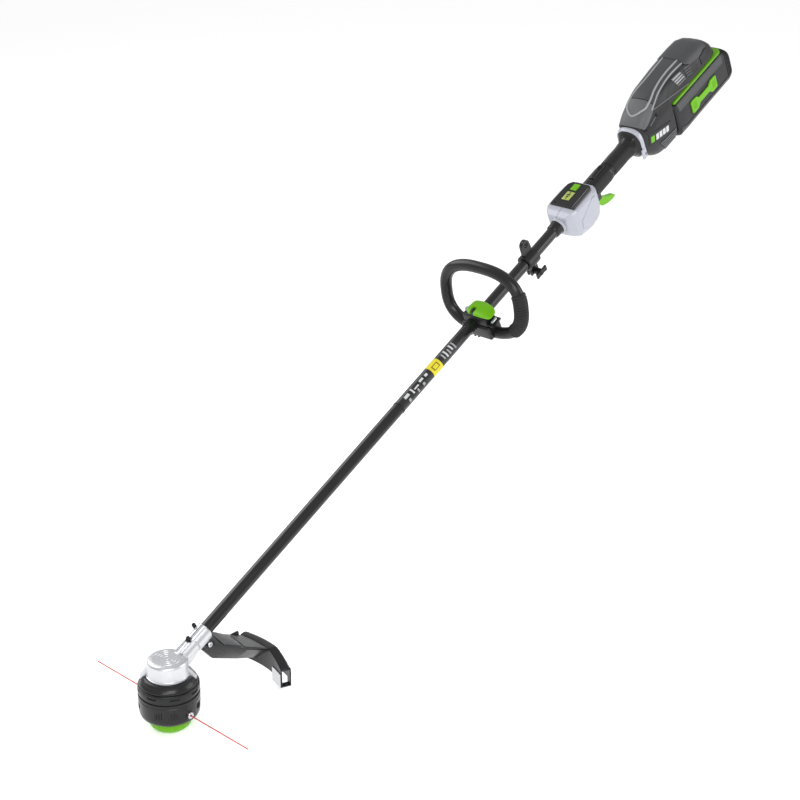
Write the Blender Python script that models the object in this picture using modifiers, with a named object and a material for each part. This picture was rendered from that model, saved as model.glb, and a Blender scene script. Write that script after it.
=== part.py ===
"""Cordless commercial string trimmer: direct-drive head, straight shaft, loop handle and rear battery.

World frame: metres, +Z up along the cutting head's spin axis, origin at the centre of the bump
knob's bottom face. The shaft rises towards +X in the XZ plane, and +Y is the operator's right.
Shaft frame: x runs along the shaft from the spin axis, y is the world's Y, z is square to the shaft.
"""
import math

import bmesh
import bpy
from mathutils import Matrix, Vector

# ---------------------------------------------------------------- driving sizes
SHAFT_RISE = math.radians(27.0)      # shaft above the cutting plane
SHAFT_ROOT_Z = 0.1127                # where the shaft's axis meets the spin axis
SHAFT_RADIUS = 0.013
SHAFT_WALL = 0.0018
SHAFT_START = 0.062                  # along the shaft
SHAFT_END = 1.424
TOUCH_GAP = 0.0003                   # between meshes that touch
SLIDE_GAP = 0.0005                   # between a sliding piece and its guide
RUN_GAP = 0.001                      # between the spinning head and the fixed parts
BORE_GAP = 0.00008                   # running fit of the rotor shaft in its bearings

# cutting head, along Z
KNOB_HEIGHT = 0.0205
KNOB_RADIUS = 0.0405
HEAD_RADIUS = 0.058
HEAD_WALL = 0.0035
HEAD_BOTTOM_Z = 0.0235
HEAD_SPLIT_Z = 0.0740
HEAD_TOP_Z = 0.0935
HEAD_HUB_RADIUS = 0.012
LINE_Z = 0.0455
LINE_RADIUS = 0.0012
LINE_REACH = 0.2184
LINE_ANGLE = math.radians(-92.0)
EYELET_RADIUS = 0.0045
SPOOL_RADIUS = 0.036
SPOOL_HEIGHT = 0.026

# motor, along Z
SHROUD_BOTTOM_Z = HEAD_TOP_Z + RUN_GAP
SHROUD_TOP_Z = 0.1085
SHROUD_RADIUS = 0.055
MOTOR_TOP_Z = 0.1425
MOTOR_RADIUS = 0.0385
MOTOR_WALL = 0.0025
MOTOR_CAP = 0.0045
LUG_REACH = 0.0525
LUG_WIDTH = 0.011
LUG_TOP_Z = 0.121
LUG_BOTTOM_Z = 0.0985
BEARING_RADIUS = 0.011
BEARING_HEIGHT = 0.0055
AXLE_RADIUS = 0.004
STATOR_HEIGHT = 0.019
ROTOR_RADIUS = 0.0205
NECK_RADIUS = 0.0175
NECK_END = 0.108
NECK_EAR_TOP = 0.0195
NECK_SCREWS = ((0.0965, 0.0085), (0.0680, -0.0025))
GUARD_BOLT = (0.0940, -0.0225)       # along the shaft, and square to it
GUARD_LUG_HALF_WIDTH = 0.0050

# guard, about the spin axis
GUARD_INNER_RADIUS = 0.2208
GUARD_WIDTH = 0.021
GUARD_TOP_Z = 0.084
GUARD_END_TOP_Z = 0.062
GUARD_BOTTOM_Z = 0.036
GUARD_END_BOTTOM_Z = 0.022
GUARD_NEAR_ANGLE = math.radians(-24.0)
GUARD_FAR_ANGLE = math.radians(9.5)
GUARD_SLOPE_ANGLE = math.radians(-11.0)
GUARD_WALL = 0.0026
BLADE_THICKNESS = 0.0012
BLADE_HEIGHT = 0.030

# loop handle, along the shaft
LOOP_STATION = 1.004
LOOP_LEAN = math.radians(17.5)
LOOP_HALF_WIDTH = 0.1000
LOOP_OFFSET = -0.0145
LOOP_LOW = -0.029
LOOP_HIGH = 0.115
LOOP_TUBE_RADIUS = 0.0128
LOOP_CLAMP_LENGTH = 0.040
LEVER_HINGE_BACK = 0.0105             # ahead of the clamp's middle
LEVER_HINGE_HEIGHT = 0.0330
LEVER_HINGE_ACROSS = -0.0100

# harness hanger, along the shaft
HANGER_STATION = 1.170
HANGER_LENGTH = 0.036
HANGER_RADIUS = 0.0188
HANGER_BOLT_DROP = 0.0300
HANGER_EYE_RADIUS = 0.012
HANGER_EYE_HOLE = 0.0062
HANGER_EYE_HEIGHT = 0.040

# control pod, along the shaft
POD_START = 1.302
POD_END = 1.416
POD_HALF_WIDTH = 0.042
POD_TOP = 0.0298
POD_WALL = 0.0028
PANEL_THICKNESS = 0.0042
BUTTON_TRAVEL = 0.0012

# rear handle and rear housing, along the shaft
GRIP_RADIUS = 0.0195
GRIP_FRONT_RADIUS = 0.0212
GRIP_STEP = 1.492
GRIP_DROP = 0.0015                   # below the shaft's axis
GRIP_END = 1.588
COLLAR_LENGTH = 0.011
HOUSING_START = GRIP_END + COLLAR_LENGTH + TOUCH_GAP
HOUSING_END = 1.906
HOUSING_HALF_WIDTH = 0.043
HOUSING_TOP = 0.084
HOUSING_HUMP = 0.072                 # how far the front hump hangs below the shaft's axis
HOUSING_WALL = 0.003
DOCK_START = 1.708
DOCK_TOP = 0.0320
DOCK_RAIL_HEIGHT = 0.0115

# battery, along the shaft
BATTERY_LENGTH = 0.243
BATTERY_HALF_WIDTH = 0.046
BATTERY_BOTTOM = -0.070
BATTERY_WALL = 0.003
BATTERY_CASE_TOP = 0.0195
BATTERY_STRIP = 0.0085
BATTERY_CLEARANCE = 0.004            # before the dock's front wall
BATTERY_RAIL_HALF_WIDTH = 0.0360
LATCH_ROUND = 0.0010

# ---------------------------------------------------------------- scene set-up
for old in list(bpy.data.objects):
    bpy.data.objects.remove(old, do_unlink=True)

trimmer = bpy.data.collections.new("string_trimmer")
cutters = bpy.data.collections.new("cutters")
bpy.context.scene.collection.children.link(trimmer)
bpy.context.scene.collection.children.link(cutters)

shaft_frame = bpy.data.objects.new("shaft_frame", None)
trimmer.objects.link(shaft_frame)
shaft_frame.location = (0.0, 0.0, SHAFT_ROOT_Z)
shaft_frame.rotation_euler = (0.0, -SHAFT_RISE, 0.0)


def material(name, colour, roughness, metallic=0.0):
    made = bpy.data.materials.new(name)
    made.use_nodes = True
    shader = made.node_tree.nodes["Principled BSDF"]
    shader.inputs["Base Color"].default_value = (*colour, 1.0)
    shader.inputs["Roughness"].default_value = roughness
    shader.inputs["Metallic"].default_value = metallic
    return made


BLACK = material("black_nylon", (0.015, 0.015, 0.016), 0.45)
RUBBER = material("black_rubber", (0.02, 0.02, 0.021), 0.7)
GREY = material("dark_grey_nylon", (0.055, 0.056, 0.06), 0.5)
SILVER = material("silver_plastic", (0.46, 0.47, 0.5), 0.38)
GREEN = material("green_plastic", (0.2, 0.62, 0.02), 0.4)
ALLOY = material("cast_aluminium", (0.72, 0.73, 0.75), 0.35, 1.0)
TUBE = material("anodised_tube", (0.03, 0.03, 0.033), 0.25, 0.6)
STEEL = material("steel", (0.5, 0.5, 0.52), 0.35, 1.0)
COPPER = material("copper_winding", (0.7, 0.3, 0.12), 0.4, 1.0)
LINE = material("orange_line", (0.75, 0.16, 0.05), 0.4)
BOARD = material("circuit_board", (0.02, 0.12, 0.05), 0.5)
WINDOW = material("display_window", (0.5, 0.55, 0.12), 0.15)


# ---------------------------------------------------------------- shape helpers
def add(name, mesh, paint, parent=None, matrix=None, where=None):
    """Put a mesh in the scene as one named object with one material."""
    thing = bpy.data.objects.new(name, mesh)
    (where or trimmer).objects.link(thing)
    if paint is not None:
        mesh.materials.append(paint)
    thing.parent = parent
    if matrix is not None:
        thing.matrix_local = matrix
    return thing


def finish_mesh(name, form, smooth_angle=35.0):
    bmesh.ops.recalc_face_normals(form, faces=form.faces)
    mesh = bpy.data.meshes.new(name)
    form.to_mesh(mesh)
    form.free()
    mesh.shade_smooth()
    mesh.set_sharp_from_angle(angle=math.radians(smooth_angle))
    return mesh


def box_mesh(name, size, centre=(0.0, 0.0, 0.0), round_edge=0.0, steps=2):
    form = bmesh.new()
    bmesh.ops.create_cube(form, size=1.0)
    bmesh.ops.scale(form, vec=size, verts=form.verts)
    bmesh.ops.translate(form, vec=centre, verts=form.verts)
    if round_edge:
        bmesh.ops.bevel(form, geom=form.edges[:], offset=round_edge, segments=steps, affect="EDGES")
    return finish_mesh(name, form)


def rod_mesh(name, radius, low, high, axis="Z", centre=(0.0, 0.0), sides=32, chamfer=0.0, top_radius=None):
    """A cylinder or cone from low to high along an axis; centre gives the other two coordinates."""
    form = bmesh.new()
    bmesh.ops.create_cone(form, cap_ends=True, segments=sides, radius1=radius,
                          radius2=radius if top_radius is None else top_radius, depth=high - low)
    bmesh.ops.translate(form, vec=(0.0, 0.0, (low + high) / 2), verts=form.verts)
    if chamfer:
        rims = [e for e in form.edges if abs(e.verts[0].co.z - e.verts[1].co.z) < 1e-6]
        bmesh.ops.bevel(form, geom=rims, offset=chamfer, segments=1, affect="EDGES")
    if axis == "X":
        turn = Matrix(((0, 0, 1), (1, 0, 0), (0, 1, 0)))
        shift = (0.0, centre[0], centre[1])
    elif axis == "Y":
        turn = Matrix(((0, 1, 0), (0, 0, 1), (1, 0, 0)))
        shift = (centre[0], 0.0, centre[1])
    else:
        turn = Matrix.Identity(3)
        shift = (centre[0], centre[1], 0.0)
    bmesh.ops.transform(form, matrix=turn.to_4x4(), verts=form.verts)
    bmesh.ops.translate(form, vec=shift, verts=form.verts)
    return finish_mesh(name, form)


def turned(name, profile, paint, closed=False, steps=48, parent=None, matrix=None, where=None):
    """A profile of (radius, height) points, top to bottom on its outer side, spun about Z."""
    mesh = bpy.data.meshes.new(name)
    count = len(profile)
    edges = [(i, i + 1) for i in range(count - 1)]
    if closed:
        edges.append((count - 1, 0))
    mesh.from_pydata([(radius, 0.0, height) for radius, height in profile], edges, [])
    thing = add(name, mesh, paint, parent, matrix, where)
    spin = thing.modifiers.new("spin", "SCREW")
    spin.steps = steps
    spin.render_steps = steps
    spin.use_merge_vertices = True
    spin.merge_threshold = 0.00001
    spin.use_smooth_shade = True
    return thing


def outline_mesh(name, loops, thickness, place=None, round_edge=0.0):
    """A flat outline (and its holes) in X and Y, given a thickness about Z, as a closed mesh."""
    flat = bpy.data.curves.new(name, "CURVE")
    flat.dimensions = "2D"
    flat.fill_mode = "BOTH"
    flat.extrude = thickness / 2 - round_edge
    flat.bevel_depth = round_edge
    flat.bevel_resolution = 1
    for loop in loops:
        spline = flat.splines.new("POLY")
        spline.points.add(len(loop) - 1)
        for point, (x, y) in zip(spline.points, loop):
            point.co = (x, y, 0.0, 1.0)
        spline.use_cyclic_u = True
    return curve_to_mesh(name, flat, place)


def grown(loop, amount):
    """The same outline, counter-clockwise, with every side moved outwards."""
    moved = []
    for before, here, after in zip(loop[-1:] + loop[:-1], loop, loop[1:] + loop[:1]):
        first = (Vector(here) - Vector(before)).normalized()
        second = (Vector(after) - Vector(here)).normalized()
        out = Vector((first.y, -first.x)) + Vector((second.y, -second.x))
        moved.append(tuple(Vector(here) + out * (2 * amount / out.length_squared)))
    return moved


def tube_mesh(name, points, radius, cyclic=False, resolution=3):
    path = bpy.data.curves.new(name, "CURVE")
    path.dimensions = "3D"
    path.bevel_depth = radius
    path.bevel_resolution = resolution
    path.use_fill_caps = not cyclic
    spline = path.splines.new("POLY")
    spline.points.add(len(points) - 1)
    for point, place in zip(spline.points, points):
        point.co = (*place, 1.0)
    spline.use_cyclic_u = cyclic
    return curve_to_mesh(name, path, None)


def curve_to_mesh(name, curve, place):
    guide = bpy.data.objects.new(name + "_guide", curve)
    cutters.objects.link(guide)
    bpy.context.view_layer.update()
    mesh = bpy.data.meshes.new_from_object(guide.evaluated_get(bpy.context.evaluated_depsgraph_get()))
    bpy.data.objects.remove(guide, do_unlink=True)
    form = bmesh.new()
    form.from_mesh(mesh)
    bmesh.ops.remove_doubles(form, verts=form.verts, dist=0.00001)
    if place is not None:
        bmesh.ops.transform(form, matrix=place, verts=form.verts)
    bpy.data.meshes.remove(mesh)
    return finish_mesh(name, form)


def loft_mesh(name, sections, smooth_angle=35.0):
    """A closed skin through loops of points that all have the same count, capped at both ends."""
    form = bmesh.new()
    rings = [[form.verts.new(point) for point in section] for section in sections]
    count = len(rings[0])
    for low, high in zip(rings, rings[1:]):
        for i in range(count):
            j = (i + 1) % count
            form.faces.new((low[i], low[j], high[j], high[i]))
    form.faces.new(rings[0])
    form.faces.new(rings[-1])
    return finish_mesh(name, form, smooth_angle)


def rounded_section(station, half_width, low, high, power=3.6, sides=28):
    """A rounded rectangle square to the shaft, as a superellipse."""
    middle = (low + high) / 2
    half_height = (high - low) / 2
    loop = []
    for i in range(sides):
        turn = 2 * math.pi * (i + 0.5) / sides
        across = math.copysign(abs(math.cos(turn)) ** (2 / power), math.cos(turn))
        up = math.copysign(abs(math.sin(turn)) ** (2 / power), math.sin(turn))
        loop.append((station, half_width * across, middle + half_height * up))
    return loop


def body_loft(name, stations, inset=0.0, power=3.6, sides=28):
    """A lofted body from (station, half width, low, high) rows, or its inner skin if inset."""
    rows = []
    for station, half_width, low, high in stations:
        rows.append(rounded_section(station, half_width - inset, low + inset, high - inset, power, sides))
    return loft_mesh(name, rows)


def cutter(name, mesh, parent=None, matrix=None):
    thing = add(name, mesh, None, parent, matrix, cutters)
    thing.hide_render = True
    thing.display_type = "WIRE"
    return thing


def combine(target, other, operation):
    """Join, cut or intersect with another object, which then only serves as a tool."""
    step = target.modifiers.new(operation.lower(), "BOOLEAN")
    step.object = other
    step.operation = operation
    step.solver = "EXACT"
    return target


def cut(target, mesh, parent=None, matrix=None):
    return combine(target, cutter(target.name + "_cut", mesh, parent, matrix), "DIFFERENCE")


def join(target, mesh, parent=None, matrix=None):
    return combine(target, cutter(target.name + "_join", mesh, parent, matrix), "UNION")


def half_of(name, stations, inset, side, paint, power=3.6, sides=24):
    """One hollow clamshell half: side is -1 on the operator's left and +1 on the right."""
    shell = add(name, body_loft(name, stations, 0.0, power, sides), paint, shaft_frame)
    core = list(stations)
    core[0] = (core[0][0] + inset, *core[0][1:])
    core[-1] = (core[-1][0] - inset, *core[-1][1:])
    cut(shell, body_loft(name + "_core", core, inset, power, sides), shaft_frame)
    length = stations[-1][0] - stations[0][0]
    middle = (stations[-1][0] + stations[0][0]) / 2
    reach = 0.2
    away = box_mesh(name + "_split", (length + reach, reach, reach),
                    (middle, -side * (reach / 2 - TOUCH_GAP / 2), 0.0))
    cut(shell, away, shaft_frame)
    return shell


def on_spin_axis(angle, radius, height):
    return Vector((radius * math.cos(angle), radius * math.sin(angle), height))


def arc_section(angle, outline):
    return [tuple(on_spin_axis(angle, radius, height)) for radius, height in outline]


def arc_mesh(name, outline, start, end, steps=14):
    """A (radius, height) outline swept about the spin axis between two angles."""
    angles = [start + (end - start) * i / steps for i in range(steps + 1)]
    return loft_mesh(name, [arc_section(angle, outline) for angle in angles])


def rectangle(low_a, high_a, low_b, high_b):
    return [(low_a, low_b), (high_a, low_b), (high_a, high_b), (low_a, high_b)]


# ---------------------------------------------------------------- motor
def build_motor():
    seat_radius = BEARING_RADIUS + TOUCH_GAP
    cavity_radius = MOTOR_RADIUS - MOTOR_WALL
    floor_z = SHROUD_TOP_Z + TOUCH_GAP
    roof_z = MOTOR_TOP_Z - MOTOR_CAP
    seat_floor = roof_z - 0.0065

    housing = turned("motor_housing", [
        (0.0, MOTOR_TOP_Z), (0.0300, MOTOR_TOP_Z),
        (MOTOR_RADIUS - 0.0035, MOTOR_TOP_Z - 0.0010), (MOTOR_RADIUS - 0.0008, MOTOR_TOP_Z - 0.0035),
        (MOTOR_RADIUS, MOTOR_TOP_Z - 0.0065), (MOTOR_RADIUS, floor_z + 0.003),
        (MOTOR_RADIUS + 0.0022, floor_z + 0.002), (MOTOR_RADIUS + 0.0022, floor_z), (0.0, floor_z),
    ], ALLOY, steps=40)
    for index in range(3):
        angle = math.radians(132.0 - 90.0 * index)
        lug = loft_mesh("lug", [
            [(MOTOR_RADIUS - 0.006, -LUG_WIDTH / 2, height) for height in (LUG_BOTTOM_Z, LUG_TOP_Z + 0.008)]
            + [(MOTOR_RADIUS - 0.006, LUG_WIDTH / 2, height) for height in (LUG_TOP_Z + 0.008, LUG_BOTTOM_Z)],
            [(LUG_REACH, -LUG_WIDTH / 2 + 0.001, height) for height in (LUG_BOTTOM_Z, LUG_TOP_Z - 0.012)]
            + [(LUG_REACH, LUG_WIDTH / 2 - 0.001, height) for height in (LUG_TOP_Z - 0.012, LUG_BOTTOM_Z)],
        ])
        join(housing, lug, None, Matrix.Rotation(angle, 4, "Z"))
    # the neck rises from the housing's back into the shaft's socket
    neck_root = 0.026
    neck = rod_mesh("neck", NECK_RADIUS - 0.001, neck_root, NECK_END, "X", sides=24)
    join(housing, neck, shaft_frame)
    clamp_band = rod_mesh("clamp_band", NECK_RADIUS + 0.0015, NECK_END - 0.036, NECK_END - 0.002, "X",
                          sides=24, chamfer=0.001)
    join(housing, clamp_band, shaft_frame)
    web = loft_mesh("web", [
        [(0.020, -0.006, SHROUD_TOP_Z + 0.002), (0.046, -0.006, SHROUD_TOP_Z + 0.002),
         (0.075, -0.006, SHAFT_ROOT_Z + 0.022), (0.030, -0.006, SHAFT_ROOT_Z + 0.024)],
        [(0.020, 0.006, SHROUD_TOP_Z + 0.002), (0.046, 0.006, SHROUD_TOP_Z + 0.002),
         (0.075, 0.006, SHAFT_ROOT_Z + 0.022), (0.030, 0.006, SHAFT_ROOT_Z + 0.024)],
    ])
    join(housing, web)
    for station, across in NECK_SCREWS:
        ear = box_mesh("ear", (0.0130, 0.0120, 0.0130), (station, across, NECK_EAR_TOP - 0.0065), 0.0012, 1)
        join(housing, ear, shaft_frame)
    guard_lug = box_mesh("guard_lug", (0.0180, 2 * GUARD_LUG_HALF_WIDTH, 0.0160), (GUARD_BOLT[0], 0.0, -0.0220),
                         0.0010, 1)
    join(housing, guard_lug, shaft_frame)
    # hollow for the motor, with the upper bearing's seat in its roof
    hollow = turned("motor_hollow", [
        (0.0, roof_z), (seat_radius, roof_z), (seat_radius, seat_floor), (cavity_radius, seat_floor),
        (cavity_radius, floor_z - 0.02), (0.0, floor_z - 0.02),
    ], None, steps=40, where=cutters)
    hollow.hide_render = True
    hollow.display_type = "WIRE"
    combine(housing, hollow, "DIFFERENCE")
    # socket for the shaft tube, then the narrower way in for the cable
    cut(housing, rod_mesh("socket", SHAFT_RADIUS + TOUCH_GAP, SHAFT_START - TOUCH_GAP, NECK_END + 0.02, "X",
                          sides=32), shaft_frame)
    cut(housing, rod_mesh("cable_way", 0.007, 0.020, SHAFT_START + 0.01, "X", sides=16), shaft_frame)
    for station, across in NECK_SCREWS:
        cut(housing, rod_mesh("screw_way", 0.0026 + TOUCH_GAP, 0.0085, 0.030, "Z", (station, across), 14),
            shaft_frame)
    cut(housing, rod_mesh("bolt_way", 0.0025 + TOUCH_GAP, -0.020, 0.020, "Y", GUARD_BOLT, 14), shaft_frame)

    shroud = turned("base_shroud", [
        (BEARING_RADIUS + TOUCH_GAP, SHROUD_TOP_Z), (0.0405, SHROUD_TOP_Z), (0.0460, SHROUD_TOP_Z - 0.0018),
        (SHROUD_RADIUS - 0.0008, SHROUD_BOTTOM_Z + 0.0025), (SHROUD_RADIUS, SHROUD_BOTTOM_Z),
        (SHROUD_RADIUS - 0.0035, SHROUD_BOTTOM_Z), (0.0430, SHROUD_TOP_Z - 0.0055),
        (BEARING_RADIUS + TOUCH_GAP, SHROUD_TOP_Z - 0.0055),
    ], BLACK, closed=True, steps=40)
    for index in range(3):
        angle = math.radians(132.0 - 90.0 * index)
        notch = box_mesh("notch", (0.030, LUG_WIDTH + 2 * TOUCH_GAP, 0.030),
                         (MOTOR_RADIUS - 0.006 - TOUCH_GAP + 0.015, 0.0, LUG_BOTTOM_Z - TOUCH_GAP + 0.015))
        cut(shroud, notch, None, Matrix.Rotation(angle, 4, "Z"))

    # nine-tooth stator
    tooth_loop = []
    teeth = 9
    for index in range(teeth):
        for share, radius in ((-0.30, 0.0315), (-0.30, ROTOR_RADIUS + 0.0008), (0.30, ROTOR_RADIUS + 0.0008),
                              (0.30, 0.0315)):
            turn = 2 * math.pi * (index + share) / teeth
            tooth_loop.append((radius * math.cos(turn), radius * math.sin(turn)))
    rim_loop = []
    rim_sides = 54
    for index in range(rim_sides):
        turn = 2 * math.pi * index / rim_sides
        rim_loop.append(((cavity_radius - TOUCH_GAP) * math.cos(turn), (cavity_radius - TOUCH_GAP) * math.sin(turn)))
    stator_z = floor_z + 0.0015 + STATOR_HEIGHT / 2
    add("motor_stator", outline_mesh("motor_stator", [rim_loop, tooth_loop], STATOR_HEIGHT,
                                     Matrix.Translation((0.0, 0.0, stator_z))), COPPER)

    bearing_inner = AXLE_RADIUS + BORE_GAP
    for name, base in (("upper_bearing", roof_z - TOUCH_GAP - BEARING_HEIGHT),
                       ("lower_bearing", SHROUD_TOP_Z - TOUCH_GAP - BEARING_HEIGHT + 0.0003)):
        turned(name, [(bearing_inner, base + BEARING_HEIGHT), (BEARING_RADIUS, base + BEARING_HEIGHT),
                      (BEARING_RADIUS, base), (bearing_inner, base)], STEEL, closed=True, steps=24)

    for name, place in (("neck_screw_upper", NECK_SCREWS[0]), ("neck_screw_lower", NECK_SCREWS[1])):
        seat = NECK_EAR_TOP + TOUCH_GAP
        turned(name, [(0.0, seat + 0.0052), (0.0030, seat + 0.0052), (0.0041, seat + 0.0042), (0.0041, seat),
                      (0.0026, seat), (0.0026, 0.0143), (0.0, 0.0143)], BLACK, steps=14, parent=shaft_frame,
               matrix=Matrix.Translation((*place, 0.0)))


# ---------------------------------------------------------------- cutting head
def build_head():
    axle_top = MOTOR_TOP_Z - MOTOR_CAP - 2 * TOUCH_GAP
    core_top = SHROUD_TOP_Z + 0.0215
    core_base = SHROUD_TOP_Z + 0.0015
    turned("motor_rotor", [
        (0.0, axle_top), (AXLE_RADIUS, axle_top), (AXLE_RADIUS, core_top), (ROTOR_RADIUS, core_top),
        (ROTOR_RADIUS, core_base), (AXLE_RADIUS, core_base), (AXLE_RADIUS, HEAD_SPLIT_Z - 0.004),
        (0.0, HEAD_SPLIT_Z - 0.004),
    ], STEEL, steps=24)
    bore = AXLE_RADIUS + TOUCH_GAP
    inner = HEAD_RADIUS - HEAD_WALL
    upper = turned("head_upper_housing", [
        (bore, HEAD_TOP_Z), (HEAD_RADIUS - 0.0030, HEAD_TOP_Z), (HEAD_RADIUS - 0.0005, HEAD_TOP_Z - 0.0020),
        (HEAD_RADIUS, HEAD_SPLIT_Z + 0.0045), (HEAD_RADIUS - 0.0022, HEAD_SPLIT_Z + 0.0036),
        (HEAD_RADIUS - 0.0022, HEAD_SPLIT_Z + TOUCH_GAP), (inner - 0.0008, HEAD_SPLIT_Z + TOUCH_GAP),
        (inner - 0.0008, HEAD_TOP_Z - 0.0040), (HEAD_HUB_RADIUS, HEAD_TOP_Z - 0.0040),
        (HEAD_HUB_RADIUS, HEAD_SPLIT_Z + TOUCH_GAP), (bore, HEAD_SPLIT_Z + TOUCH_GAP),
    ], BLACK, closed=True, steps=40)
    for index in range(8):
        window = box_mesh("window", (0.012, 0.015, 0.0065), (HEAD_RADIUS - 0.0010, 0.0, HEAD_TOP_Z - 0.0075))
        cut(upper, window, None, Matrix.Rotation(math.radians(45.0 * index + 15.0), 4, "Z"))
    lower = turned("head_lower_housing", [
        (inner, HEAD_SPLIT_Z), (HEAD_RADIUS, HEAD_SPLIT_Z), (HEAD_RADIUS - 0.0015, 0.0350),
        (HEAD_RADIUS - 0.0042, 0.0290), (KNOB_RADIUS + 0.0035, HEAD_BOTTOM_Z),
        (KNOB_RADIUS + 0.0010, HEAD_BOTTOM_Z), (KNOB_RADIUS + 0.0010, HEAD_BOTTOM_Z + 0.0030),
        (HEAD_RADIUS - 0.0085, 0.0330), (HEAD_RADIUS - 0.0050, 0.0390),
    ], BLACK, closed=True, steps=40)
    for index, name in enumerate(("eyelet_near", "eyelet_far")):
        turn = Matrix.Rotation(LINE_ANGLE + math.pi * index, 4, "Z")
        cut(lower, rod_mesh("eyelet_way", EYELET_RADIUS + TOUCH_GAP, 0.045, 0.070, "X", (0.0, LINE_Z), 16),
            None, turn)
        lie_along = Matrix.Translation((0.0, 0.0, LINE_Z)) @ Matrix.Rotation(math.radians(90.0), 4, "Y")
        turned(name, [
            (LINE_RADIUS + 0.0006, 0.0605), (EYELET_RADIUS + 0.0018, 0.0605), (EYELET_RADIUS + 0.0018, 0.0585),
            (EYELET_RADIUS, 0.0580), (EYELET_RADIUS, 0.0515), (LINE_RADIUS + 0.0006, 0.0515),
        ], STEEL, closed=True, steps=16, matrix=turn @ lie_along)
        end = "cutting_line_near" if index == 0 else "cutting_line_far"
        add(end, rod_mesh(end, LINE_RADIUS, SPOOL_RADIUS + 0.0025, LINE_REACH, "X", (0.0, LINE_Z), 10), LINE,
            None, turn)

    # spool, its wound line and the bump knob turn and lift together
    spool_low = KNOB_HEIGHT + 0.0080
    spool_high = spool_low + SPOOL_HEIGHT
    turned("line_spool", [
        (0.0055, spool_high), (SPOOL_RADIUS, spool_high), (SPOOL_RADIUS, spool_high - 0.0020),
        (0.0170, spool_high - 0.0020), (0.0170, spool_low + 0.0020), (SPOOL_RADIUS, spool_low + 0.0020),
        (SPOOL_RADIUS, spool_low), (0.0055, spool_low),
    ], GREY, closed=True, steps=28)
    turned("wound_line", [
        (0.0170 + TOUCH_GAP, spool_high - 0.0023), (SPOOL_RADIUS - 0.0030, spool_high - 0.0023),
        (SPOOL_RADIUS - 0.0030, spool_low + 0.0023), (0.0170 + TOUCH_GAP, spool_low + 0.0023),
    ], LINE, closed=True, steps=28)
    knob = turned("bump_knob", [
        (0.0, spool_low - TOUCH_GAP), (0.0200, spool_low - TOUCH_GAP), (0.0200, KNOB_HEIGHT),
        (KNOB_RADIUS - 0.0010, KNOB_HEIGHT), (KNOB_RADIUS, KNOB_HEIGHT - 0.0020), (KNOB_RADIUS - 0.0010, 0.0100),
        (KNOB_RADIUS - 0.0040, 0.0048), (KNOB_RADIUS - 0.0090, 0.0015), (KNOB_RADIUS - 0.0150, 0.0), (0.0, 0.0),
    ], GREEN, steps=36)
    finger_grooves = 9
    for index in range(finger_grooves):
        groove = rod_mesh("finger_groove", 0.0040, 0.0, KNOB_HEIGHT + 0.004, "Z", (KNOB_RADIUS + 0.0018, 0.0), 12)
        cut(knob, groove, None, Matrix.Rotation(2 * math.pi * index / finger_grooves, 4, "Z"))
    cup_low = spool_high + TOUCH_GAP
    turned("spring_cup", [
        (0.0, cup_low + 0.0020), (0.0150, cup_low + 0.0020), (0.0150, cup_low), (0.0, cup_low),
    ], STEEL, steps=20)
    # the bump spring, between the cup and the upper housing's roof
    spring_low = cup_low + 0.0020 + 0.0016
    spring_high = HEAD_TOP_Z - 0.0040 - 0.0016
    turns = 3
    steps_per_turn = 10
    total = turns * steps_per_turn
    points = []
    for index in range(total + 1):
        angle = 2 * math.pi * index / steps_per_turn
        height = spring_low + (spring_high - spring_low) * index / total
        points.append((0.0138 * math.cos(angle), 0.0138 * math.sin(angle), height))
    add("bump_spring", tube_mesh("bump_spring", points, 0.0009, resolution=1), STEEL)


# ---------------------------------------------------------------- shaft and guard
def build_shaft():
    turn = Matrix.Rotation(math.radians(90.0), 4, "Y")
    inner = SHAFT_RADIUS - SHAFT_WALL
    turned("shaft_tube", [(inner, SHAFT_END), (SHAFT_RADIUS, SHAFT_END), (SHAFT_RADIUS, SHAFT_START),
                          (inner, SHAFT_START)], TUBE, closed=True, steps=32, parent=shaft_frame, matrix=turn)
    add("power_cable", rod_mesh("power_cable", 0.0045, 0.052, HOUSING_START + 0.012, "X", sides=12), RUBBER,
        shaft_frame)


def guard_top(angle):
    """The skirt's top edge, which drops towards the operator's left end."""
    share = min(max((GUARD_SLOPE_ANGLE - angle) / (GUARD_SLOPE_ANGLE - GUARD_NEAR_ANGLE), 0.0), 1.0)
    return GUARD_TOP_Z + (GUARD_END_TOP_Z - GUARD_TOP_Z) * share


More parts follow.
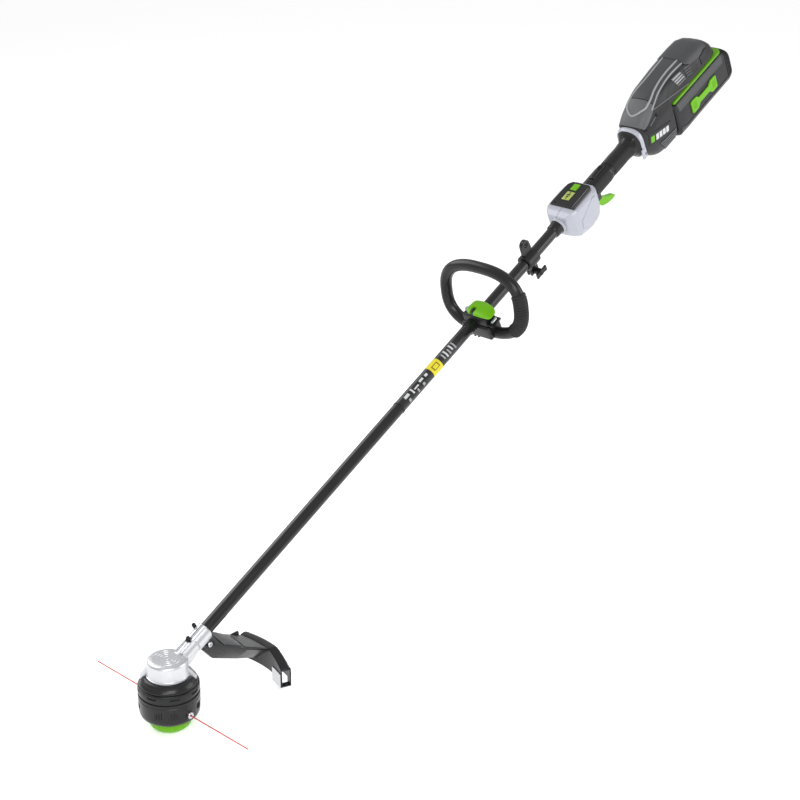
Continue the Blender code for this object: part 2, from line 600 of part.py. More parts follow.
def build_guard():
    outer = GUARD_INNER_RADIUS + GUARD_WIDTH
    wall = GUARD_WALL
    inner_wall = GUARD_INNER_RADIUS + wall
    steps = 18
    sections = []
    for index in range(steps + 1):
        angle = GUARD_NEAR_ANGLE + (GUARD_FAR_ANGLE - GUARD_NEAR_ANGLE) * index / steps
        top = guard_top(angle)
        sections.append(arc_section(angle, [
            (GUARD_INNER_RADIUS, GUARD_BOTTOM_Z), (GUARD_INNER_RADIUS, top - 0.001),
            (GUARD_INNER_RADIUS + 0.001, top), (outer - 0.003, top - 0.002), (outer, top - 0.005),
            (outer, GUARD_BOTTOM_Z), (outer - wall, GUARD_BOTTOM_Z), (outer - wall, top - wall - 0.004),
            (inner_wall, top - wall), (inner_wall, GUARD_BOTTOM_Z)]))
    shield = add("guard_shield", loft_mesh("guard_shield", sections), BLACK)
    # closed frame at the operator's left end, which carries the line cutter
    frame_depth = math.radians(3.0)
    frame = rectangle(GUARD_INNER_RADIUS, outer, GUARD_END_BOTTOM_Z, GUARD_END_TOP_Z - 0.003)
    join(shield, arc_mesh("end_frame", frame, GUARD_NEAR_ANGLE, GUARD_NEAR_ANGLE + frame_depth, 2))
    # spine from the neck down to the skirt: wide on top, narrow along its bottom edge
    spine = []
    for reach, bottom, near, near_top, far, far_top in (
            (0.0860, 0.1210, 0.0120, 0.1380, 0.0120, 0.1500), (0.1070, 0.0960, 0.0180, 0.1300, 0.0160, 0.1420),
            (0.1350, 0.0830, 0.0250, 0.1180, 0.0240, 0.1310), (0.1700, 0.0670, 0.0340, 0.1020, 0.0300, 0.1080),
            (0.2180, 0.0480, 0.0430, 0.0825, 0.0345, 0.0835), (0.2300, 0.0450, 0.0440, 0.0800, 0.0350, 0.0805)):
        spine.append([
            (reach, -near, near_top), (reach, 0.0, (near_top + far_top) / 2 + 0.001), (reach, far, far_top),
            (reach, far - 0.001, far_top - 0.004), (reach, 0.0055, bottom + 0.002), (reach, 0.004, bottom),
            (reach, -0.004, bottom), (reach, -0.0055, bottom + 0.002), (reach, -near + 0.001, near_top - 0.004)])
    join(shield, loft_mesh("spine", spine))
    cheek = box_mesh("cheek", (0.0220, 0.0210, 0.0180), (GUARD_BOLT[0] + 0.0015, 0.0, GUARD_BOLT[1] - 0.0010))
    join(shield, cheek, shaft_frame)
    hole = rectangle(inner_wall, outer - wall, GUARD_END_BOTTOM_Z + wall, GUARD_END_TOP_Z - 0.003 - wall)
    cut(shield, arc_mesh("end_hole", hole, GUARD_NEAR_ANGLE - 0.02, GUARD_NEAR_ANGLE + frame_depth + 0.02, 3))
    # clearance for the neck, its lug, the bolt and the shaft
    cut(shield, rod_mesh("neck_clearance", NECK_RADIUS + 0.0015 + TOUCH_GAP, 0.03, NECK_END + 0.0005, "X",
                         sides=24), shaft_frame)
    cut(shield, rod_mesh("shaft_clearance", SHAFT_RADIUS + 0.0015, 0.03, 0.4, "X", sides=32), shaft_frame)
    slot = box_mesh("lug_slot", (0.0180 + 2 * TOUCH_GAP, 2 * (GUARD_LUG_HALF_WIDTH + TOUCH_GAP), 0.0400),
                    (GUARD_BOLT[0], 0.0, -0.0300 - TOUCH_GAP + 0.0200))
    cut(shield, slot, shaft_frame)
    cut(shield, rod_mesh("bolt_way", 0.0025 + TOUCH_GAP, -0.030, 0.030, "Y", GUARD_BOLT, 14), shaft_frame)
    cut(shield, rod_mesh("bolt_recess", 0.0070, -0.0500, -0.0105, "Y", GUARD_BOLT, 16), shaft_frame)
    turn = Matrix.Translation((GUARD_BOLT[0], 0.0, GUARD_BOLT[1])) @ Matrix.Rotation(math.radians(90.0), 4, "X")
    turned("guard_bolt", [
        (0.0, 0.0160), (0.0048, 0.0160), (0.0052, 0.0154), (0.0052, 0.0108), (0.0025, 0.0108),
        (0.0025, -0.0120), (0.0, -0.0120)], STEEL, steps=14, parent=shaft_frame, matrix=turn)

    inner = GUARD_INNER_RADIUS - TOUCH_GAP
    blade_low = GUARD_END_BOTTOM_Z - 0.001
    blade = rectangle(inner - BLADE_THICKNESS, inner, blade_low, blade_low + BLADE_HEIGHT)
    add("line_cutter_blade", arc_mesh("line_cutter_blade", blade, GUARD_NEAR_ANGLE + 0.004,
                                      GUARD_NEAR_ANGLE + math.radians(9.5), 5), STEEL)


# ---------------------------------------------------------------- loop handle
def loop_point(turn, grow=0.0):
    """A point of the loop's centre line, in the shaft frame."""
    power = 2.6
    across = math.copysign(abs(math.cos(turn)) ** (2 / power), math.cos(turn)) * (LOOP_HALF_WIDTH + grow)
    up = math.copysign(abs(math.sin(turn)) ** (2 / power), math.sin(turn))
    height = (LOOP_LOW + LOOP_HIGH) / 2 + up * ((LOOP_HIGH - LOOP_LOW) / 2 + grow)
    return (LOOP_STATION + height * math.sin(LOOP_LEAN), LOOP_OFFSET + across, height * math.cos(LOOP_LEAN))


def build_loop():
    sides = 48
    ring = [loop_point(2 * math.pi * i / sides) for i in range(sides)]
    loop = add("loop_handle", tube_mesh("loop_handle", ring, LOOP_TUBE_RADIUS, cyclic=True, resolution=2), BLACK,
               shaft_frame)
    low = LOOP_STATION + LOOP_LOW * math.sin(LOOP_LEAN) - LOOP_CLAMP_LENGTH / 2
    high = low + LOOP_CLAMP_LENGTH
    saddle = box_mesh("saddle", (LOOP_CLAMP_LENGTH, 0.0740, 0.0330), ((low + high) / 2, -0.0070, -0.0171), 0.0040, 1)
    join(loop, saddle, shaft_frame)
    bore = rod_mesh("loop_bore", SHAFT_RADIUS + SLIDE_GAP, low - 0.1, high + 0.2, "X", sides=32)
    cut(loop, bore, shaft_frame)
    middle = (low + high) / 2
    cap = add("loop_clamp_cap", box_mesh("loop_clamp_cap", (LOOP_CLAMP_LENGTH - 0.008, 0.0620, 0.0225), (
        middle, -0.0085, 0.01125), 0.0030, 1), BLACK, shaft_frame)
    cut(cap, rod_mesh("cap_bore", SHAFT_RADIUS + SLIDE_GAP, low - 0.1, high + 0.1, "X", sides=32), shaft_frame)
    for name, across in (("clamp_stud_left", -0.0310), ("clamp_stud_right", 0.0180)):
        place = (middle, across)
        cut(cap, rod_mesh("stud_way", 0.0025 + TOUCH_GAP, -0.05, 0.05, "Z", place, 16), shaft_frame)
        cut(loop, rod_mesh("stud_way", 0.0025 + TOUCH_GAP, -0.05, 0.05, "Z", place, 16), shaft_frame)
        turned(name, [(0.0, 0.0260), (0.0042, 0.0260), (0.0042, 0.0228), (0.0025, 0.0228), (0.0025, -0.0405),
                      (0.0, -0.0405)], STEEL, steps=14, parent=shaft_frame,
               matrix=Matrix.Translation((*place, 0.0)))
    # ribbed rubber sleeve on the operator's left side, where the hand holds the loop
    first = 21
    last = 30
    wrap = [loop_point(2 * math.pi * i / sides) for i in range(first, last + 1)]
    sleeve = add("loop_grip", tube_mesh("loop_grip", wrap, LOOP_TUBE_RADIUS + 0.0036, resolution=2), RUBBER,
                 shaft_frame)
    beyond = [loop_point(2 * math.pi * i / sides) for i in range(first - 1, last + 2)]
    cut(sleeve, tube_mesh("grip_bore", beyond, LOOP_TUBE_RADIUS + 0.0011, resolution=2), shaft_frame)

    # green quick-release lever on a pin through the cap's ear
    hinge = middle - LEVER_HINGE_BACK
    side = LEVER_HINGE_ACROSS
    join(cap, box_mesh("lever_ear", (0.0100, 0.0100, 0.0180), (hinge, side, LEVER_HINGE_HEIGHT - 0.0045), 0.0012, 1),
         shaft_frame)
    cut(cap, rod_mesh("pin_way", 0.0022 + BORE_GAP, -0.06, 0.06, "Y", (hinge, LEVER_HINGE_HEIGHT), 16), shaft_frame)
    lever_rows = []
    for across, front, back, base, top in (
            (0.0085, -0.010, 0.013, 0.0310, 0.0345), (0.0050, -0.016, 0.018, 0.0295, 0.0370),
            (-0.0200, -0.020, 0.020, 0.0290, 0.0385), (-0.0480, -0.019, 0.013, 0.0290, 0.0375),
            (-0.0560, -0.017, 0.004, 0.0300, 0.0345)):
        lever_rows.append([(middle + front, across, base), (middle + back, across, base),
                           (middle + back + 0.001, across, (base + top) / 2), (middle + back - 0.003, across, top),
                           (middle + front + 0.003, across, top), (middle + front - 0.001, across, (base + top) / 2)])
    lever = add("clamp_lever", loft_mesh("clamp_lever", lever_rows), GREEN, shaft_frame)
    cut(lever, box_mesh("ear_slot", (0.0280, 0.0112, 0.0300), (hinge - 0.0060, side, LEVER_HINGE_HEIGHT)),
        shaft_frame)
    join(lever, rod_mesh("lever_pin", 0.0022, side - 0.0080, side + 0.0080, "Y", (hinge, LEVER_HINGE_HEIGHT), 16),
         shaft_frame)
    return middle


# ---------------------------------------------------------------- harness hanger
def build_hanger():
    low = HANGER_STATION
    high = low + HANGER_LENGTH
    middle = (low + high) / 2
    collar = add("harness_clamp", rod_mesh("harness_clamp", HANGER_RADIUS, low, high, "X", sides=24,
                                           chamfer=0.0015), BLACK, shaft_frame)
    eye_low = HANGER_RADIUS - 0.004
    rows = []
    for y_place in (-0.0045, 0.0045):
        arc = [(middle - 0.013, eye_low), (middle - 0.0125, HANGER_EYE_HEIGHT - 0.006)]
        for index in range(9):
            turn = math.radians(160.0 - 140.0 * index / 8)
            arc.append((middle + HANGER_EYE_RADIUS * math.cos(turn),
                        HANGER_EYE_HEIGHT + HANGER_EYE_RADIUS * math.sin(turn)))
        arc += [(middle + 0.0125, HANGER_EYE_HEIGHT - 0.006), (middle + 0.013, eye_low)]
        rows.append([(x, y_place, z) for x, z in arc])
    join(collar, loft_mesh("eye", rows), shaft_frame)
    for side in (-1, 1):
        ear = box_mesh("clamp_ear", (HANGER_LENGTH - 0.010, 0.0060, 0.024),
                       (middle, side * 0.0042, -HANGER_RADIUS - 0.006), 0.0015, 1)
        join(collar, ear, shaft_frame)
    cut(collar, rod_mesh("eye_hole", HANGER_EYE_HOLE, -0.02, 0.02, "Y", (middle, HANGER_EYE_HEIGHT + 0.0005), 18),
        shaft_frame)
    cut(collar, rod_mesh("hanger_bore", SHAFT_RADIUS + SLIDE_GAP, low - 0.01, high + 0.01, "X", sides=32),
        shaft_frame)
    cut(collar, box_mesh("split", (HANGER_LENGTH + 0.02, 0.0024, 0.050), (middle, 0.0, -0.033)), shaft_frame)
    cut(collar, rod_mesh("bolt_way", 0.0030 + SLIDE_GAP, -0.03, 0.03, "Y", (middle, -HANGER_BOLT_DROP), 14),
        shaft_frame)
    # wing knob on the operator's left, with its stud through both ears
    place = Matrix.Translation((middle, 0.0, -HANGER_BOLT_DROP)) @ Matrix.Rotation(math.pi, 4, "Z")
    knob = add("wing_knob", rod_mesh("wing_knob", 0.0075, 0.0078, 0.0265, "Y", (0.0, 0.0), 16, 0.001), BLACK,
               shaft_frame, place)
    join(knob, rod_mesh("stud", 0.0030, -0.0120, 0.0100, "Y", (0.0, 0.0), 14), shaft_frame, place)
    join(knob, box_mesh("wings", (0.034, 0.0050, 0.0110), (0.0, 0.0242, 0.0), 0.0016, 1), shaft_frame, place)


# ---------------------------------------------------------------- control pod
POD_STATIONS = [
    (POD_START, 0.023, -0.023, 0.020), (POD_START + 0.003, 0.027, -0.028, 0.024),
    (POD_START + 0.014, 0.036, -0.038, 0.0280), (POD_START + 0.027, POD_HALF_WIDTH, -0.045, POD_TOP),
    (POD_START + 0.070, POD_HALF_WIDTH, -0.052, POD_TOP), (POD_START + 0.090, 0.040, -0.050, POD_TOP),
    (POD_START + 0.103, 0.034, -0.043, POD_TOP - 0.001), (POD_START + 0.111, 0.029, -0.036, 0.0265),
    (POD_END, 0.025, -0.031, 0.0245),
]


def build_pod():
    turn = Matrix.Rotation(math.radians(90.0), 4, "Y")
    ring = SHAFT_RADIUS + TOUCH_GAP
    turned("pod_collar", [(ring, POD_START - TOUCH_GAP), (0.0175, POD_START - TOUCH_GAP),
                          (0.0165, POD_START - 0.024), (0.0158, POD_START - 0.026), (ring, POD_START - 0.026)],
           BLACK, closed=True, steps=32, parent=shaft_frame, matrix=turn)
    for name, side in (("pod_shell_left", -1), ("pod_shell_right", 1)):
        shell = half_of(name, POD_STATIONS, POD_WALL, side, SILVER, 4.2, 20)
        cut(shell, rod_mesh("pod_bore", SHAFT_RADIUS + TOUCH_GAP, POD_START - 0.02, POD_END + 0.02, "X",
                            sides=32), shaft_frame)
        cut(shell, box_mesh("trigger_slot", (0.040, 0.0140, 0.030), (POD_END - 0.002, 0.0, -0.040)), shaft_frame)
    base = POD_TOP + TOUCH_GAP
    front = POD_START + 0.026
    back = POD_START + 0.104
    outline = [(front, -0.0325), (front, 0.0325), (back - 0.010, 0.0310), (back, 0.0225), (back, -0.0225),
               (back - 0.010, -0.0310)]
    panel = add("pod_top_panel", outline_mesh("pod_top_panel", [outline], PANEL_THICKNESS, Matrix.Translation(
        (0.0, 0.0, base + PANEL_THICKNESS / 2)), 0.0008), GREY, shaft_frame)
    screen = (front + 0.0200, front + 0.0470, -0.0050, 0.0155)
    press = (front + 0.0515, front + 0.0720, -0.0030, 0.0135)
    for low_x, high_x, low_y, high_y in (screen, press):
        hole = box_mesh("panel_hole", (high_x - low_x + 2 * TOUCH_GAP, high_y - low_y + 2 * TOUCH_GAP, 0.02),
                        ((low_x + high_x) / 2, (low_y + high_y) / 2, base))
        cut(panel, hole, shaft_frame)
    add("display_window", box_mesh("display_window", (screen[1] - screen[0], screen[3] - screen[2], 0.0035), (
        (screen[0] + screen[1]) / 2, (screen[2] + screen[3]) / 2, base + 0.0021), 0.0004, 1), WINDOW, shaft_frame)
    size = (press[1] - press[0] - 2 * TOUCH_GAP, press[3] - press[2] - 2 * TOUCH_GAP, 0.0038)
    centre = ((press[0] + press[1]) / 2, (press[2] + press[3]) / 2, base + BUTTON_TRAVEL + 0.0022)
    add("power_button", box_mesh("power_button", size, centre, 0.0008, 2), GREEN, shaft_frame)
    add("pod_circuit_board", box_mesh("pod_circuit_board", (0.060, 0.048, 0.0016), (POD_START + 0.058, 0.0, 0.0190)),
        BOARD, shaft_frame)


# ---------------------------------------------------------------- rear handle and trigger
def build_grip():
    start = POD_END + TOUCH_GAP
    stations = [(start, GRIP_FRONT_RADIUS), (GRIP_STEP - 0.004, GRIP_FRONT_RADIUS), (GRIP_STEP, GRIP_RADIUS),
                (GRIP_END - 0.026, GRIP_RADIUS), (GRIP_END - 0.010, GRIP_RADIUS + 0.004), (GRIP_END, 0.0275)]
    rows = [(station, radius, -radius - GRIP_DROP, radius - GRIP_DROP) for station, radius in stations]
    for name, side in (("rear_handle_left", -1), ("rear_handle_right", 1)):
        shell = add(name, body_loft(name, rows, 0.0, 2.15, 24), BLACK, shaft_frame)
        join(shell, box_mesh("trigger_boss", (0.0280, 0.0230, 0.0220), (start + 0.0140, 0.0, -0.0250), 0.0020, 1),
             shaft_frame)
        cut(shell, rod_mesh("grip_bore", 0.0155, SHAFT_END + 0.004, GRIP_END + 0.01, "X", sides=24), shaft_frame)
        cut(shell, rod_mesh("tube_bore", SHAFT_RADIUS + TOUCH_GAP, POD_END - 0.01, SHAFT_END + 0.010, "X",
                            sides=32), shaft_frame)
        cut(shell, box_mesh("split", (0.3, 0.1, 0.1), (1.5, -side * (0.05 - TOUCH_GAP / 2), 0.0)), shaft_frame)
        cut(shell, box_mesh("trigger_slot", (0.072, 0.0140, 0.050), (1.456, 0.0, -0.040)), shaft_frame)
        cut(shell, box_mesh("lock_slot", (0.052, 0.0130, 0.030), (1.464, 0.0, 0.027)), shaft_frame)
    # trigger: curved lever hinged inside the pod's back
    arm = [(1.4290, -0.0235), (1.4370, -0.0250), (1.4480, -0.0360), (1.4600, -0.0455), (1.4740, -0.0540),
           (1.4880, -0.0620), (1.4905, -0.0660), (1.4870, -0.0695), (1.4700, -0.0685), (1.4550, -0.0650),
           (1.4430, -0.0600), (1.4370, -0.0500), (1.4310, -0.0390), (1.4275, -0.0300)]
    trigger = add("trigger", outline_mesh("trigger", [[(x, z) for x, z in arm]], 0.0120, Matrix.Rotation(
        math.radians(90.0), 4, "X"), 0.0012), GREEN, shaft_frame)
    cut(trigger, rod_mesh("trigger_bore", 0.0016 + BORE_GAP, -0.02, 0.02, "Y", (1.4320, -0.0260), 16), shaft_frame)
    add("trigger_pin", rod_mesh("trigger_pin", 0.0016, -0.0068, 0.0068, "Y", (1.4320, -0.0260), 16), STEEL,
        shaft_frame)
    add("trigger_switch", box_mesh("trigger_switch", (0.020, 0.0100, 0.0070), (1.4640, 0.0, -0.0095), 0.0006, 1),
        BLACK, shaft_frame)
    lock = add("lock_off_lever", loft_mesh("lock_off_lever", [
        rounded_section(station, 0.0058, base, top, 3.0, 16) for station, base, top in (
            (1.4400, 0.0148, 0.0210), (1.4460, 0.0143, 0.0228), (1.4800, 0.0155, 0.0238), (1.4860, 0.0165, 0.0222))]),
               GREY, shaft_frame)
    cut(lock, rod_mesh("lock_bore", 0.0014 + BORE_GAP, -0.02, 0.02, "Y", (1.4440, 0.0178), 16), shaft_frame)
    add("lock_off_pin", rod_mesh("lock_off_pin", 0.0014, -0.0062, 0.0062, "Y", (1.4440, 0.0178), 16), STEEL,
        shaft_frame)


# ---------------------------------------------------------------- rear housing
HOUSING_STATIONS = [
    (HOUSING_START, 0.031, -0.036, 0.036), (HOUSING_START + 0.008, 0.034, -0.044, 0.046),
    (HOUSING_START + 0.030, 0.038, -0.062, 0.060), (HOUSING_START + 0.055, 0.040, -HOUSING_HUMP, 0.070),
    (HOUSING_START + 0.085, 0.042, -HOUSING_HUMP, 0.078),
    (HOUSING_START + 0.150, HOUSING_HALF_WIDTH, -HOUSING_HUMP, HOUSING_TOP),
    (HOUSING_START + 0.255, HOUSING_HALF_WIDTH, -HOUSING_HUMP, HOUSING_TOP),
    (HOUSING_END - 0.020, 0.041, -HOUSING_HUMP, 0.073), (HOUSING_END - 0.006, 0.037, -HOUSING_HUMP, 0.060),
    (HOUSING_END, 0.033, -HOUSING_HUMP, 0.052),
]


def build_housing():
    collar = add("rear_collar", body_loft("rear_collar", [
        (GRIP_END + TOUCH_GAP, 0.0300, -0.0330, 0.0330),
        (GRIP_END + 0.002, 0.0325, -0.0365, 0.0365),
        (GRIP_END + COLLAR_LENGTH, 0.0335, -0.0385, 0.0385)]), SILVER, shaft_frame)
    cut(collar, rod_mesh("collar_bore", 0.0185, GRIP_END - 0.01, GRIP_END + 0.03, "X", sides=36), shaft_frame)
    bay_length = 0.30
    rail_way = (0.4, 2 * (BATTERY_RAIL_HALF_WIDTH + SLIDE_GAP), 2 * DOCK_RAIL_HEIGHT)
    rail_way_centre = (DOCK_START + 0.2 + 0.009, 0.0, DOCK_TOP + TOUCH_GAP)
    dock = DOCK_TOP + TOUCH_GAP
    for name, side in (("housing_left", -1), ("housing_right", 1)):
        shell = half_of(name, HOUSING_STATIONS, HOUSING_WALL, side, GREY)
        cut(shell, box_mesh("battery_bay", (bay_length, 0.2, 0.2),
                            (DOCK_START + bay_length / 2, 0.0, dock - 0.1)), shaft_frame)
        cut(shell, box_mesh("rail_way", rail_way, rail_way_centre), shaft_frame)
        cut(shell, rod_mesh("cable_way", 0.0065, HOUSING_START - 0.01, HOUSING_START + 0.01, "X", sides=20),
            shaft_frame)
        # louvres over the controller
        for index in range(5):
            slot = box_mesh("louvre", (0.060 - 0.006 * index, 0.02, 0.0040),
                            (1.775 + 0.010 * index, side * 0.046, 0.066 - 0.0085 * index))
            cut(shell, slot, shaft_frame, Matrix.Identity(4))
    # dock floor that closes the housing above the battery and guides its rails
    floor_front = DOCK_START + 0.005
    floor_back = HOUSING_END - 0.014
    floor_height = DOCK_RAIL_HEIGHT + 0.003
    floor_mesh = box_mesh("dock_plate", (floor_back - floor_front, 0.0780, floor_height),
                          ((floor_back + floor_front) / 2, 0.0, dock + floor_height / 2), 0.001, 1)
    floor = add("dock_plate", floor_mesh, BLACK, shaft_frame)
    cut(floor, box_mesh("rail_way", rail_way, rail_way_centre), shaft_frame)
    inside = cutter("dock_fit", body_loft(
        "dock_fit", HOUSING_STATIONS, HOUSING_WALL + TOUCH_GAP, sides=24), shaft_frame)
    combine(floor, inside, "INTERSECT")
    add("dock_terminals", box_mesh("dock_terminals", (0.0040, 0.044, 0.0070),
                                   (DOCK_START + 0.0113, 0.0, dock + 0.0060), 0.0005, 1), COPPER, shaft_frame)
    add("controller_board", box_mesh("controller_board", (0.120, 0.056, 0.0016), (1.790, 0.0, 0.0560)), BOARD,
        shaft_frame)
    sink_height = 0.0560 + 0.0008 + TOUCH_GAP + 0.0050
    fins = add("heat_sink", box_mesh("heat_sink", (0.070, 0.046, 0.0100), (1.790, 0.0, sink_height)),
               ALLOY, shaft_frame)
    for index in range(5):
        cut(fins, box_mesh("fin_gap", (0.08, 0.0040, 0.02), (1.790, 0.0080 * (index - 2), 0.0560 + 0.0036 + 0.0100)),
            shaft_frame)


# ---------------------------------------------------------------- battery
def build_battery():
    front = DOCK_START + BATTERY_CLEARANCE
    back = front + BATTERY_LENGTH
    wide = BATTERY_HALF_WIDTH
    top = BATTERY_CASE_TOP
    stations = [(front, wide - 0.004, BATTERY_BOTTOM + 0.005, top), (front + 0.004, wide, BATTERY_BOTTOM, top),
                (back - 0.036, wide, BATTERY_BOTTOM, top),
                (back - 0.022, wide - 0.001, BATTERY_BOTTOM + 0.001, top - 0.004),
                (back - 0.009, wide - 0.005, BATTERY_BOTTOM + 0.006, top - 0.017),
                (back, wide - 0.012, BATTERY_BOTTOM + 0.016, top - 0.035)]
    case = add("battery_case", body_loft("battery_case", stations, 0.0, 5.0, 32), GREY, shaft_frame)
    tub = loft_mesh("tub", [rounded_section(station, wide - BATTERY_WALL - narrower,
                                            BATTERY_BOTTOM + BATTERY_WALL + narrower,
                                            top + 0.03, 7.0, 28)
                            for station, narrower in ((front + 0.006, 0.004), (front + 0.010, 0.0),
                                                      (back - 0.050, 0.0), (back - 0.040, 0.006))])
    cut(case, tub, shaft_frame)
    strip_low = top + TOUCH_GAP
    strip_high = top + BATTERY_STRIP
    strip = add("battery_strip", loft_mesh("battery_strip", [
        rounded_section(station, half, strip_low, strip_high, 7.0, 20) for station, half in (
            (front + 0.004, wide - 0.002), (back - 0.044, wide - 0.002), (back - 0.036, wide - 0.008))]), GREEN,
                shaft_frame)
    rail_low = strip_high + TOUCH_GAP
    rail_high = DOCK_TOP + DOCK_RAIL_HEIGHT - 0.0015
    size = (back - front - 0.070, 2 * BATTERY_RAIL_HALF_WIDTH, rail_high - rail_low)
    centre = ((front + back) / 2 - 0.019, 0.0, (rail_low + rail_high) / 2)
    add("battery_rail", box_mesh("battery_rail", size, centre, 0.0015, 1), BLACK,
        shaft_frame)
    add("battery_cells", box_mesh("battery_cells", (BATTERY_LENGTH - 0.070, 2 * wide - 0.018, 0.072),
                                  ((front + back) / 2 - 0.015, 0.0, BATTERY_BOTTOM + 0.042), 0.006, 1), BLACK,
        shaft_frame)
    # green dog-bone release latch on each side, in a pocket of the case
    middle = front + 0.108
    height = -0.026
    bone = [(-0.052, -0.0135), (-0.030, -0.0150), (-0.020, -0.0065), (0.020, -0.0065), (0.030, -0.0150),
            (0.052, -0.0135), (0.052, 0.0135), (0.030, 0.0150), (0.020, 0.0065), (-0.020, 0.0065),
            (-0.030, 0.0150), (-0.052, 0.0135)]
    upright = Matrix.Rotation(math.radians(90.0), 4, "X")
    for name, side in (("battery_latch_left", -1), ("battery_latch_right", 1)):
        place = Matrix.Translation((middle, side * (wide + 0.0005), height)) @ upright
        add(name, outline_mesh(name, [bone], 0.0060, place, LATCH_ROUND), GREEN, shaft_frame)
        pocket = outline_mesh("latch_pocket", [grown(bone, SLIDE_GAP + LATCH_ROUND)], 0.0200, place)
        cut(case, pocket, shaft_frame)


build_motor()
build_head()
build_shaft()
build_guard()
build_loop()
build_hanger()
build_pod()
build_grip()
build_housing()
build_battery()
bpy.context.view_layer.update()
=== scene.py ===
import math

import bmesh
import bpy
from mathutils import Matrix, Vector


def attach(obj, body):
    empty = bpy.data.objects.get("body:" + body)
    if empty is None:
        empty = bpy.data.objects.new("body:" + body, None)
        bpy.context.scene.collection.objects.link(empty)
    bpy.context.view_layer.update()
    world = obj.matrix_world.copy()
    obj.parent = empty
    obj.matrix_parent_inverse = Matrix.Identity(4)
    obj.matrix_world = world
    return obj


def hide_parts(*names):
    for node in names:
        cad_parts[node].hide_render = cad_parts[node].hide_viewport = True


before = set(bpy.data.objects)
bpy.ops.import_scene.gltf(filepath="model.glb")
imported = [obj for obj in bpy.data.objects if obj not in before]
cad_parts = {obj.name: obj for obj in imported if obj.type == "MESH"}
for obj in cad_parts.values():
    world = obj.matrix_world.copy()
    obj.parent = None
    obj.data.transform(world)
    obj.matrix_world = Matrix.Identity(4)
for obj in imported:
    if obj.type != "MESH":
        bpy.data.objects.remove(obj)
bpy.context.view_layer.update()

# ---------------------------------------------------------------- frames and shared sizes, in metres
SHAFT_RISE = math.radians(27.0)
SHAFT_ROOT = 0.1127
SHAFT = Matrix.Translation((0.0, 0.0, SHAFT_ROOT)) @ Matrix.Rotation(-SHAFT_RISE, 4, "Y")
WORLD = Matrix.Identity(4)
TUBE_RADIUS = 0.013
SLIDE_BORE = TUBE_RADIUS + 0.0005
SIDES = ((-1, "left"), (1, "right"))
ALONG_X = Matrix.Rotation(math.radians(90.0), 4, "Y")
ALONG_Y = Matrix.Rotation(math.radians(-90.0), 4, "X")

BODY_ROOT = "machine_frame"
HEAD = "cutting_head"
SPOOL = "spool_and_knob"
LOOP = "front_handle"
BATTERY = "battery"


ROUGH_SPREAD = 0.08
GLOSS = 0.26


def shader(name, colour, rough, metal=0.0, grain=900.0, bump=0.12, mottle=0.1, coat=0.0):
    """A surface with fine grain and a slow drift in colour and roughness."""
    made = bpy.data.materials.new(name)
    made.use_nodes = True
    tree = made.node_tree
    link = tree.links.new
    main = tree.nodes["Principled BSDF"]
    main.inputs["Metallic"].default_value = metal
    main.inputs["Coat Weight"].default_value = coat
    main.inputs["Specular IOR Level"].default_value = GLOSS
    main.inputs["Coat Roughness"].default_value = 0.12
    where = tree.nodes.new("ShaderNodeTexCoord")
    slow = tree.nodes.new("ShaderNodeTexNoise")
    slow.inputs["Scale"].default_value = 26.0
    slow.inputs["Detail"].default_value = 4.0
    link(where.outputs["Object"], slow.inputs["Vector"])
    tint = tree.nodes.new("ShaderNodeMix")
    tint.data_type = "RGBA"
    tint.inputs["A"].default_value = (*[c * (1.0 - mottle) for c in colour], 1.0)
    tint.inputs["B"].default_value = (*[min(1.0, c * (1.0 + mottle)) for c in colour], 1.0)
    link(slow.outputs["Fac"], tint.inputs["Factor"])
    link(tint.outputs["Result"], main.inputs["Base Color"])
    span = tree.nodes.new("ShaderNodeMapRange")
    span.inputs["To Min"].default_value = max(0.03, rough - ROUGH_SPREAD)
    span.inputs["To Max"].default_value = min(1.0, rough + ROUGH_SPREAD)
    link(slow.outputs["Fac"], span.inputs["Value"])
    link(span.outputs["Result"], main.inputs["Roughness"])
    fine = tree.nodes.new("ShaderNodeTexNoise")
    fine.inputs["Scale"].default_value = grain
    fine.inputs["Detail"].default_value = 3.0
    link(where.outputs["Object"], fine.inputs["Vector"])
    lift = tree.nodes.new("ShaderNodeBump")
    lift.inputs["Strength"].default_value = bump
    lift.inputs["Distance"].default_value = 0.0004
    link(fine.outputs["Fac"], lift.inputs["Height"])
    link(lift.outputs["Normal"], main.inputs["Normal"])
    return made


BLACK = shader("black_nylon_moulded", (0.009, 0.009, 0.01), 0.36, grain=1300.0, bump=0.22)
BLACK_SATIN = shader("black_nylon_satin", (0.011, 0.011, 0.012), 0.26, grain=900.0, bump=0.1,
                     coat=0.06)
RUBBER = shader("black_rubber_grip", (0.012, 0.012, 0.013), 0.58, grain=1800.0, bump=0.35)
CHARCOAL = shader("charcoal_moulded", (0.017, 0.017, 0.019), 0.38, grain=1300.0, bump=0.22)
GREY = shader("dark_grey_moulded", (0.052, 0.053, 0.056), 0.4, grain=1300.0, bump=0.25)
GREY_LIGHT = shader("mid_grey_moulded", (0.1, 0.102, 0.107), 0.42, grain=1300.0, bump=0.22)
PIPING = shader("light_grey_piping", (0.27, 0.275, 0.285), 0.38, grain=900.0, bump=0.1)
SILVER = shader("silver_moulded", (0.4, 0.41, 0.46), 0.34, metal=0.25, grain=1600.0,
                bump=0.12, mottle=0.04)
GREEN = shader("green_moulded", (0.125, 0.38, 0.003), 0.34, grain=1200.0, bump=0.1,
               mottle=0.05)
GREEN_DARK = shader("green_strip", (0.1, 0.29, 0.003), 0.42, grain=1200.0, bump=0.14,
                    mottle=0.08)
ALLOY = shader("cast_alloy_tumbled", (0.6, 0.61, 0.63), 0.3, metal=0.9, grain=1100.0,
               bump=0.3, mottle=0.05)
